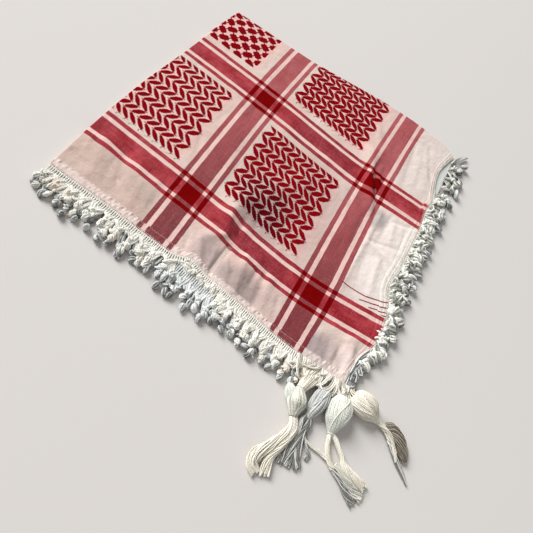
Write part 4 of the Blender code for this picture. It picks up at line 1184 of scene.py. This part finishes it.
def tied(bundle, middle, axis, side, up, size, thread, chance, points=26):
    # overhand knots, each of two threads side by side
    count = len(middle)
    t = np.linspace(0, 2 * math.pi, points)[None, :]
    spin = chance.uniform(0, 2 * math.pi, (count, 1))
    for strand in (0, 1):
        grow = size[:, None] * (1.0 + 0.42 * strand) * mm
        x0, y0 = (np.sin(t) + 2 * np.sin(2 * t)) * grow, (np.cos(t) - 2 * np.cos(2 * t)) * grow
        x, y = x0 * np.cos(spin) - y0 * np.sin(spin), x0 * np.sin(spin) + y0 * np.cos(spin)
        z = (-np.sin(3 * t) * thread * 1.25 - strand * 0.6) * mm * np.ones((count, 1))
        paths = (middle[:, None] + side[:, None] * x[..., None] + axis[:, None] * y[..., None]
                 + up[:, None] * z[..., None])
        radii = np.full((count, points), thread * mm) * chance.uniform(0.85, 1.1, (count, 1))
        bundle.threads(heldAbove(paths, thread * 1.15 + 0.1), radii)


def planVectors(vectors):
    # plan directions as world directions
    return np.stack([vectors[:, 0], -vectors[:, 1], np.zeros(len(vectors))], 1)


def hang(style, place):
    # places along the hem, its run, the way the threads hang from it, and the cloth's height there
    at, run, out = hemFrame(place, style["side"], style["hidden"])
    tilt = np.radians(readTable(style["lean"], place))[:, None]
    return at, run, out * np.cos(tilt) + run * np.sin(tilt), hemHeight(at, style["hidden"])


def legs(style, chance, place, knotPlan, knotLevel, knotRun, knotOut):
    # two flat legs from each group of threads, to the knots at either side of it
    at, run, out, base = hang(style, place)
    count, threads = len(place), fringeMake["legThreads"]
    rootAt = at + out * style["rootOut"] * chance.uniform(0.5, 1.0, (count, 1))
    paths = []
    for way in (-1, 1):
        knot = np.arange(count) + (1 if way > 0 else 0)
        slack = chance.uniform(0.0, 1.8, count)
        bow = chance.uniform(-3.0, 4.0, count)[:, None]
        for k in range(threads):
            spread = way * (k + 0.5) * style["rootWidth"] / 2 / threads
            lane = (k - (threads - 1) / 2) * way
            stray = chance.uniform(-1.6, 1.6, (count, 1))
            lift = slack + chance.uniform(0.0, 1.4, count) + 0.5
            toward = knotPlan[knot] - at
            start = toWorld(rootAt + run * spread * 1.15 - out * 3.0, base + style["root"] - 0.3)
            lead = toWorld(rootAt + run * (spread + way * bow + stray) + out * (style["knot"] * 0.22),
                           base + style["root"] + lift + 0.6)
            close = toWorld(knotPlan[knot] - toward * 0.42 + run * (lane * 2.6 + way * bow - stray),
                            knotLevel[knot] + lift + 0.8)
            tie = knotPlan[knot] + knotRun[knot] * (lane * 1.6) + knotOut[knot] * 2.0
            end = toWorld(tie, knotLevel[knot])
            paths.append(bezier(start, lead, close, end, 8))
    return paths


def slackThreads(style, chance):
    # threads that loop over between the legs
    loops = style["loops"]
    first, last = sorted((style["start"], style["end"]))
    at, run, out, base = hang(style, chance.uniform(first, last, loops))
    far = style["knot"] * chance.uniform(0.45, 1.15, (loops, 1))
    across = chance.uniform(-11, 11, (loops, 1))
    high = style["knotLevel"] + chance.uniform(-0.5, 2.2, loops)
    paths = []
    for shift in (-1.2, 1.2):
        start = toWorld(at + out * style["rootOut"] * 0.8 + run * shift, base + style["root"])
        lead = toWorld(at + out * (far * 0.9 + shift) + run * (across * 0.1 + shift), high + 0.8)
        close = toWorld(at + out * (far * 1.25 + shift) + run * (across * 0.7), high + 0.4)
        end = toWorld(at + out * (far * 0.85) + run * (across + shift), high - 1.6)
        paths.append(bezier(start, lead, close, end, 8))
    return paths


def leaning(down, chance):
    # each knot's own axis, side and upper way, from the plan direction that it hangs in
    axis, side = planVectors(down), planVectors(squareTo(down))
    upward = np.broadcast_to(np.array([0.0, 0.0, 1.0]), axis.shape)
    roll, pitch = chance.uniform(-1.1, 1.1, (2, len(down), 1))
    side = side * np.cos(roll) + upward * np.sin(roll)
    up = np.cross(side, axis)
    up *= np.sign(up[:, 2:3])
    return axis * np.cos(pitch) + up * np.sin(pitch), side, up * np.cos(pitch) - axis * np.sin(pitch)


def fringe(name):
    style = fringeRows[name]
    chance = np.random.default_rng(style["seed"])
    bundle = Bundle()
    # groups of threads along the hem, with a knot at either side of each
    step = style["pitch"] * (1 if style["end"] > style["start"] else -1)
    count = int(abs(style["end"] - style["start"]) / style["pitch"])
    knots = count + 1
    groups = style["start"] + step * (np.arange(count) + 0.5) + chance.uniform(-1.5, 1.5, count)
    place = style["start"] + step * np.arange(knots) + chance.uniform(-3.4, 3.4, knots)
    at, run, out, base = hang(style, place)
    rise = base - layout["stack"]
    # the farther out the knots lie, the less they rise with the cloth
    share = max(0.0, 1 - style["knot"] / 60)
    reach = (readTable(style["reach"], place) * chance.uniform(0.84, 1.08, knots))[:, None]
    sway = chance.uniform(-6.5, 6.5, knots)[:, None]
    knotPlan = at + out * style["knot"] * reach + run * sway * 0.3
    knotLevel = style["knotLevel"] + rise * share + chance.uniform(-0.6, 1.0, knots)
    ballPlan = at + out * style["ball"] * reach + run * sway
    ballLevel = np.maximum(style["ballLevel"] + rise * 0.2 + chance.uniform(-0.8, 1.4, knots), 4.6)
    tipPlan = (ballPlan + out * (style["tip"] - style["ball"]) * reach
               + run * (sway * 0.5 + chance.uniform(-2, 2, (knots, 1))))
    paths = legs(style, chance, groups, knotPlan, knotLevel, run, out) + slackThreads(style, chance)
    paths = heldAbove(np.concatenate(paths), 1.6)
    radii = np.full(paths.shape[:2], fringeMake["thread"] * mm) * chance.uniform(0.80, 1.14, (len(paths), 1))
    bundle.threads(paths, radii)
    # the knots, and below them the ends gathered in balls
    ways = leaning(unit(ballPlan - knotPlan), chance)
    grow = style["grow"]
    size = grow * fringeMake["knotSize"] * chance.uniform(0.82, 1.22, knots)
    tied(bundle, toWorld(knotPlan, np.maximum(knotLevel, 5.0)), *ways, size, grow * fringeMake["knotThread"],
         chance)
    long, wide, thick = (size * fringeMake[key] for size, key in zip(
        grow * chance.uniform(0.70, 1.16, (3, knots)) * mm, ("ballLong", "ballWide", "ballThick")))
    gathered(bundle, toWorld(ballPlan, np.maximum(ballLevel, 5.4)), *ways, long, wide, thick,
             fringeMake["ballThreads"], grow * fringeMake["ballThread"], chance)
    # the cut ends beyond the balls
    paths = []
    for k in range(fringeMake["tuft"]):
        fan = (k - (fringeMake["tuft"] - 1) / 2) * 1.7 + chance.uniform(-1.2, 1.2, (knots, 1))
        start = toWorld(ballPlan + run * fan * 0.4, ballLevel - 0.4)
        low = np.maximum(ballLevel * chance.uniform(0.3, 0.9, knots), 1.5)
        end = toWorld(tipPlan + run * fan * 1.6 + out * chance.uniform(-6.0, 1.0, (knots, 1)), low)
        bend = planVectors(run) * chance.uniform(-3, 3, (knots, 1)) * mm
        paths.append(bezier(start, start * 0.6 + end * 0.4 + bend, start * 0.2 + end * 0.8 - bend, end, 6))
    paths = heldAbove(np.concatenate(paths), 1.2)
    bundle.threads(paths, np.full(paths.shape[:2], fringeMake["tuftThread"] * mm))
    return dress(bundle.make(name), style["paint"], style.get("replaced", ()))


fringes = {name: fringe(name) for name in fringeRows}
print("fringe ready")

# The four corner tassels; every row is across, down, height of the middle, width, thickness
tassels = {
    "leftTassel": {
        "neck": ((536, 621.5, 7.2, 34, 6), (537, 640, 11, 27, 12), (531, 658, 13.5, 20, 15),
                 (526.5, 671, 14, 15, 14)),
        "neckThreads": 26, "neckThread": 1.35, "neckPaint": tasselCream,
        "head": ((526, 670, 13.5, 15, 13), (527, 677, 14, 19, 17), (529.5, 686, 14, 29, 24),
                 (532, 694, 13, 32, 26), (534, 702, 11, 24, 20), (536.5, 711, 8.5, 13, 12)),
        "headThreads": 58, "headThread": 0.95, "headPaint": tasselMixed, "slot": "tassel_left", "seed": 41,
    },
    "backTassel": {
        "neck": ((574, 622.6, 5.5, 16, 6), (571, 640, 9, 17, 12), (566, 656, 12, 20, 18)),
        "neckThreads": 10, "neckThread": 1.2, "neckPaint": tasselGrey,
        "head": ((569, 648, 10.5, 20, 17), (565.5, 658, 12.5, 26, 23), (563.5, 672, 13.5, 28, 25),
                 (562, 685, 11.5, 24, 20), (561, 694, 8.5, 15, 13), (561, 700, 6.5, 11, 9)),
        "headThreads": 42, "headThread": 1.1, "headPaint": tasselGrey, "slot": "tassel_back", "seed": 42,
    },
    "middleTassel": {
        "neck": ((593, 618.8, 6.4, 12, 6), (598, 634, 10, 18, 12), (600, 647, 15, 32, 24)),
        "neckThreads": 9, "neckThread": 1.2, "neckPaint": tasselCream,
        "head": ((599.5, 640, 13.5, 24, 18), (600, 648, 15.5, 36, 27), (600, 663, 17, 43, 32),
                 (601.5, 679, 15.8, 38, 29), (604, 691, 12, 23, 19), (605.8, 700, 8, 11, 9)),
        "headThreads": 60, "headThread": 1.15, "headPaint": tasselGreen, "slot": "tassel_middle", "seed": 43,
    },
    "rightTassel": {
        "neck": ((603, 614.5, 6.6, 9, 6), (610, 623, 9.5, 15, 12), (618, 626.5, 14, 30, 24)),
        "neckThreads": 8, "neckThread": 1.2, "neckPaint": tasselCream,
        "head": ((613, 624.5, 13.5, 25, 18), (621, 627.3, 15.5, 37, 28), (636, 630, 17, 43, 32),
                 (650, 632.5, 15.8, 38, 29), (660, 634.2, 12, 24, 20), (668.5, 636.2, 9, 11, 10)),
        "headThreads": 62, "headThread": 1.15, "headPaint": tasselCream, "slot": "tassel_right", "seed": 44,
    },
}
# A small round knob beside the left tassel's head
knob = ((509, 671, 7.5, 8, 8), (513, 679, 9.5, 17, 15), (518, 688, 9, 17, 15), (522, 696, 8, 8, 8))
# The tails' cords: tassel, finish, number of threads, thread's radius, twists, and the rows of the cord
cords = (
    ("leftTassel", tasselCream, 42, 1.0, 0.5,
     ((536, 711, 8.5, 12, 9), (543, 725, 8.5, 13, 10), (540, 743, 9, 14, 10), (531, 762, 9, 16, 10),
      (521, 780, 9, 18, 10), (514, 797, 8, 20, 10), (516, 808, 6, 19, 8), (529, 817, 4, 16, 6))),
    ("leftTassel", tasselCream, 34, 1.0, -0.6,
     ((540, 711, 8, 9, 9), (549, 727, 8.5, 10, 9), (547, 745, 8.5, 12, 10), (541, 766, 8, 14, 9),
      (535, 784, 7, 16, 8), (537, 799, 6, 17, 7), (543, 812, 4.2, 17, 5))),
    ("backTassel", tasselAsh, 30, 0.9, 0.8,
     ((560, 697, 7, 8, 7), (554, 710, 8, 11, 9), (554, 725, 7, 12, 8), (552, 742, 6, 14, 7),
      (550, 761, 5, 17, 6), (548, 785, 3.5, 20, 4))),
    ("backTassel", tasselAsh, 18, 0.9, -0.7,
     ((562, 697, 7, 7, 7), (564, 712, 7.5, 9, 8), (561, 728, 7, 10, 7), (561, 749, 5.5, 12, 6),
      (562, 767, 4.5, 14, 5), (564, 783, 3.2, 16, 4))),
    ("backTassel", tasselAsh, 24, 0.85, 0.6,
     ((564, 696, 7, 6, 7), (568, 709, 7, 8, 7), (566, 724, 6.5, 9, 7), (568, 745, 5.5, 12, 6),
      (574, 762, 4.5, 13, 5), (584, 778, 3.2, 15, 4))),
    ("backTassel", tasselAsh, 10, 0.8, 1.5,
     ((564, 700, 6, 4, 5), (572, 728, 5, 4, 4), (583, 742, 4, 6, 4), (590, 749, 3, 7, 3),
      (588, 758, 2.4, 7, 3))),
    ("backTassel", tasselMixed, 12, 0.85, 1.2,
     ((563, 699, 6, 4, 5), (570, 728, 5, 4, 4), (583, 734, 4.5, 6, 4), (604, 735, 4.5, 7, 4),
      (622, 739, 5, 5, 4), (637, 745, 4.5, 6, 4))),
    ("middleTassel", tasselCream, 24, 0.95, 1.3,
     ((605, 698, 8, 7, 8), (607, 712, 8, 8, 8), (613, 727, 7.5, 8, 8), (624, 739, 6.5, 9, 7),
      (634, 745, 5.5, 9, 6))),
    ("middleTassel", tasselCream, 34, 1.0, -1.2,
     ((608, 698, 8, 7, 8), (618, 705, 8, 8, 8), (629, 713, 7.5, 8, 8), (640, 722, 7, 9, 8),
      (648, 731, 7, 11, 8), (662, 736, 7.5, 15, 10), (680, 739, 6.5, 17, 9), (697, 742, 4.5, 16, 6))),
    ("middleTassel", tasselAsh, 32, 0.9, 0.5,
     ((629, 742, 5, 9, 5), (641, 746, 5, 12, 6), (657, 752, 4.5, 16, 6), (674, 762, 3.8, 20, 5),
      (690, 769, 3, 24, 4))),
    ("middleTassel", tasselMixed, 26, 0.9, 0.6,
     ((634, 738, 6.5, 9, 7), (648, 743, 6.5, 12, 8), (664, 749, 5.5, 14, 7), (682, 754, 4.2, 17, 5),
      (699, 757, 3, 18, 4))),
    ("rightTassel", tasselCream, 32, 0.9, 0.9,
     ((666, 635.5, 9, 9, 9), (680, 637.5, 8.5, 11, 9), (693, 641, 8, 13, 9), (704, 648, 7, 13, 8),
      (714, 657, 6, 10, 6))),
    ("rightTassel", tasselDark, 44, 0.95, 0.7,
     ((686, 635, 10, 11, 7), (700, 632, 10.5, 18, 10), (713, 637, 10, 21, 11), (725, 646, 9, 21, 11),
      (735, 657, 8, 18, 10), (743, 668, 5.5, 11, 7))),
    ("rightTassel", tasselCream, 9, 0.9, 1.0,
     ((680, 639, 10.5, 6, 5), (692, 642, 12, 7, 6), (704, 649, 11.5, 7, 6), (715, 659, 9.5, 7, 6),
      (724, 668, 7.5, 6, 5), (730, 676, 5.5, 5, 4))),
    ("rightTassel", tasselAsh, 24, 0.85, 0.3,
     ((700, 645, 5, 11, 6), (714, 658, 4.5, 11, 5), (729, 671, 4, 11, 5), (746, 684, 3.2, 8, 4),
      (762, 697, 2.4, 4, 3))),
)


def sectionsOf(rows, place):
    # sections along a cord: across, down, level, half width, half thickness, and the way to its side
    rows = np.array(rows, float)
    sides = squareTo(unit(np.gradient(rows[:, :2], axis=0)))
    table = np.concatenate([rows[:, :3], rows[:, 3:5] / 2, sides], 1)
    return follow(np.arange(len(rows)), table, place)


def skein(bundle, rows, threads, thread, turns, seed, core=True, points=22, strays=0):
    # threads drawn side by side over a core, with a few stray ones across them
    chance = np.random.default_rng(seed)
    place = np.linspace(0, len(rows) - 1, points)
    section = sectionsOf(rows, place)
    first, second, _ = chance.uniform(0, 6.28, 3)

    def swell(angle, place):
        return 1 + 0.03 * np.sin(3 * angle + first + place * 1.3) + 0.02 * np.sin(5 * angle + second - place)

    if core:
        angle = (2 * math.pi * np.arange(28) / 28)[None, :]
        grow = swell(angle, place[:, None]) * 0.96
        x = np.cos(angle) * grow * (section[:, 3:4] - thread)
        y = np.sin(angle) * grow * (section[:, 4:5] - thread)
        ring = section[:, None, :2] + section[:, None, 5:7] * x[..., None]
        bundle.lofts(toWorld(ring, np.maximum(section[:, 2:3] + y, 0.4))[None])
    paths = []
    for k in range(threads + strays):
        start = 2 * math.pi * (k + chance.uniform(-0.3, 0.3)) / threads
        angle = start + 2 * math.pi * turns * place / place[-1] + 0.05 * np.sin(place * 2 + k)
        if k >= threads:
            angle = chance.uniform(0.2, 2.9) + np.linspace(-0.5, 0.5, points) * chance.uniform(-2.2, 2.2)
        depth = 0.8 - 0.6 * (k >= threads) + chance.uniform(-0.35, 0.35)
        x = np.cos(angle) * swell(angle, place) * np.maximum(section[:, 3] - thread * depth, 0.3)
        y = np.sin(angle) * swell(angle, place) * np.maximum(section[:, 4] - thread * depth, 0.3)
        plan = section[:, :2] + section[:, 5:7] * x[:, None]
        paths.append(toWorld(plan, np.maximum(section[:, 2] + y, thread + 0.2)))
    radii = np.full((len(paths), points), thread * mm) * chance.uniform(0.78, 1.15, (len(paths), 1))
    bundle.threads(np.array(paths), radii)


def cord(bundle, rows, threads, thread, turns, seed, points=19):
    # a cord of loose threads, set as evenly over its section as the seeds of a sunflower
    chance = np.random.default_rng(seed)
    place = np.linspace(0, len(rows) - 1, points)
    section = sectionsOf(rows, place)
    run = np.gradient(section[:, :2], axis=0)
    t = np.linspace(0, 1, points)
    swing = turns * 2 * math.pi * t
    paths = []
    for k in range(threads):
        turn, distance = k * 2.39996, math.sqrt((k + 0.5) / threads)
        x0, y0 = distance * math.cos(turn), distance * math.sin(turn)
        loose = chance.normal(0, 0.15, 2)[:, None] * t[None, :] ** 2
        wave = 0.10 * np.sin(place * chance.uniform(1, 4) + chance.uniform(0, 6))
        x = x0 * np.cos(swing) - y0 * np.sin(swing) + loose[0] + wave
        y = x0 * np.sin(swing) + y0 * np.cos(swing) + loose[1]
        back = chance.uniform(0, 0.35) * t ** 4
        plan = section[:, :2] + section[:, 5:7] * (x * np.maximum(section[:, 3] - thread * 0.6, 0.2))[:, None]
        level = section[:, 2] + y * np.maximum(section[:, 4] - thread * 0.6, 0.2)
        paths.append(toWorld(plan - run * (back * 3)[:, None], np.maximum(level, thread + 0.2)))
    radii = np.full((threads, points), thread * mm) * chance.uniform(0.8, 1.2, (threads, 1))
    bundle.threads(np.array(paths), radii)


def binding(bundle, row, way, thread, turns, long, points=40):
    # thread wound round a narrow place
    t = np.linspace(0, 1, points)
    angle = 2 * math.pi * turns * t
    x, y = np.cos(angle) * (row[3] / 2), np.sin(angle) * (row[4] / 2)
    plan = np.array(row[:2]) + way * ((t - 0.5) * long)[:, None] + squareTo(way) * x[:, None]
    level = np.maximum(row[2] + y, thread + 0.2)
    bundle.threads(toWorld(plan, level)[None], np.full((1, points), thread * mm), 6)


for name, style in tassels.items():
    bundle = Bundle()
    skein(bundle, style["head"], style["headThreads"], style["headThread"], 0.06, style["seed"], strays=7)
    end = np.array(style["head"][-2:], float)
    binding(bundle, style["head"][-1], unit(end[1, :2] - end[0, :2]), 0.9, 3.5, 5.0)
    dress(bundle.make(name), style["headPaint"], [style["slot"]])
    bundle = Bundle()
    skein(bundle, style["neck"], style["neckThreads"], style["neckThread"], 0.08, style["seed"] + 10,
          core=False, points=16)
    dress(bundle.make(name + "Neck"), style["neckPaint"])
bundle = Bundle()
skein(bundle, knob, 30, 0.9, 0.1, 51)
dress(bundle.make("leftTasselKnob"), tasselGreen)
for number, (name, finish, threads, thread, turns, rows) in enumerate(cords):
    bundle = Bundle()
    cord(bundle, rows, threads, thread, turns, 60 + number)
    dress(bundle.make(f"{name}Cord{number + 1}"), finish)
print("tassels ready")

# The few threads that point away at the far end of the right hem
bundle = Bundle()
farTip = ((600, 4, 6, 8, 6), (608, -14, 7.5, 9, 8), (618, -33, 7, 8, 7), (630, -52, 5.5, 4, 4))
skein(bundle, farTip, 9, 1.5, 0.6, 52)
dress(bundle.make("rightFringeTip"), fringeRight)

# Threads drawn along the last of the right hem
strands = {"start": 504, "end": 606, "count": 18, "points": 30, "inner": -3.0, "outer": 22.0, "thread": 1.15,
           "seed": 48}
chance = np.random.default_rng(strands["seed"])
count, points = strands["count"], strands["points"]
bundle, paths = Bundle(), []
for k in range(count):
    start, end = strands["start"] + chance.uniform(0, 34), strands["end"] + chance.uniform(-12, 6)
    place = np.linspace(start, end, points)
    at, _, out = hemFrame(place, "right", False)
    width = strands["outer"] - strands["inner"]
    lane = strands["inner"] + width * (k + chance.uniform(-0.4, 0.4)) / (count - 1)
    wave = 2.4 * np.sin(place / chance.uniform(9, 20) + chance.uniform(0, 6))
    swing = lane * np.linspace(0.55, 1.0, points) + wave
    level = clothHeight(at) + 1.5 - 0.3 * np.maximum(swing, 0) + 1.1 * np.sin(place / 13 + k)
    level[0] -= 2.0
    paths.append(toWorld(at + out * swing[:, None], level))
bundle.threads(np.array(paths), np.full((count, points), strands["thread"] * mm), 6)
dress(bundle.make("rightHemStrands"), strandThread)

# Loose ends curling at the corner where the tassels are tied, and beside it on the right hem
frills = {
    "cornerFrills": {"side": "near", "start": 506, "end": 606, "count": 50, "threads": 2, "thread": 1.4,
                     "spacing": 3.4, "reach": (12, 40), "level": (5.0, 23.0), "sweep": 19, "seed": 47,
                     "paint": frillThread, "slot": "tassel_middle"},
    "rightFrills": {"side": "right", "start": 538, "end": 606, "count": 26, "threads": 2, "thread": 1.5,
                    "spacing": 3.2, "reach": (7, 23), "level": (4.5, 13.0), "sweep": 15, "seed": 53,
                    "paint": strandThread, "slot": "right_fringe_upper"},
}


def frill(name, points=16):
    style = frills[name]
    count = style["count"]
    chance = np.random.default_rng(style["seed"])
    place = np.linspace(style["start"], style["end"], count) + chance.uniform(-2, 2, count)
    at, run, out = hemFrame(place, style["side"], False)
    reach = chance.uniform(*style["reach"], (count, 1))
    sweep = chance.uniform(-style["sweep"], style["sweep"], (3, count, 1))
    levels = chance.uniform(*style["level"], (3, count))
    bundle = Bundle()
    for k in range(style["threads"]):
        lane = (k - (style["threads"] - 1) / 2) * style["spacing"]
        start = toWorld(at - out * 2.0 + run * lane, clothHeight(at) + 0.4)
        lead = toWorld(at + out * reach * 0.5 + run * (lane + sweep[0] * 0.2), levels[0] + 2)
        close = toWorld(at + out * (reach * 1.25 + lane * 0.5) + run * (sweep[1] + lane * 0.6), levels[1])
        end = toWorld(at + out * (reach * 0.75 - lane) + run * (sweep[1] + sweep[2]), levels[2] * 0.8)
        paths = bezier(start, lead, close, end, points)
        bundle.threads(paths, np.full((count, points), style["thread"] * mm), 6)
    dress(bundle.make(name), style["paint"])


for name in frills:
    frill(name)
print("loose ends ready")

# Floor, light and camera
studio = {
    "floor": (0.745, 0.712, 0.682), "floorSize": 8.0, "floorLevel": -0.0002,
    "world": (1.0, 1.0, 1.0, 1.0), "worldStrength": 0.285, "target": (-0.05, 0.0, 0.0),
    "keyPlace": (-11.8, 4.6, 8.6), "keyEnergy": 2930.0, "keySize": 8.0,
    "fillPlace": (1.3, -0.9, 1.3), "fillEnergy": 2.0, "fillSize": 1.5,
    "cameraPlace": (-0.0742, -0.5755, 0.7513), "cameraTurn": (23.7645, -21.0620, 30.4254), "lens": 33.77,
}
clearSelection()
bpy.ops.mesh.primitive_plane_add(size=studio["floorSize"], location=(0, 0, studio["floorLevel"]))
floor = bpy.context.object
floor.name = "floor"
floorPaint = Paint("paper", 0.95)
grain = floorPaint.noise(floorPaint.coordinates(), 900.0, 2.0)
lighter = tuple(c * 1.03 for c in studio["floor"])
floorColour = floorPaint.mix(grain, studio["floor"], lighter)
floor.data.materials.append(floorPaint.finish(floorColour, ((0.02, grain),)))

world = bpy.data.worlds.new("studio")
bpy.context.scene.world = world
world.use_nodes = True
sky = world.node_tree.nodes["Background"]
sky.inputs["Color"].default_value = studio["world"]
sky.inputs["Strength"].default_value = studio["worldStrength"]


def softbox(name, place, energy, size):
    # a square light turned toward the cloth
    bpy.ops.object.light_add(type="AREA", location=place)
    light = bpy.context.object
    light.name = name
    light.data.energy, light.data.size = energy, size
    toward = np.array(studio["target"]) - np.array(place)
    flat = math.hypot(toward[0], toward[1])
    light.rotation_euler = (math.atan2(flat, -toward[2]), 0, math.atan2(toward[1], toward[0]) - math.pi / 2)


bpy.context.scene.view_settings.view_transform = "Standard"
softbox("keyLight", studio["keyPlace"], studio["keyEnergy"], studio["keySize"])
softbox("fillLight", studio["fillPlace"], studio["fillEnergy"], studio["fillSize"])

bpy.ops.object.camera_add(location=studio["cameraPlace"], rotation=np.radians(studio["cameraTurn"]))
camera = bpy.context.object
camera.data.lens = studio["lens"]
camera.data.sensor_width = 36
camera.data.clip_start = 0.01
bpy.context.scene.camera = camera
print("studio ready")
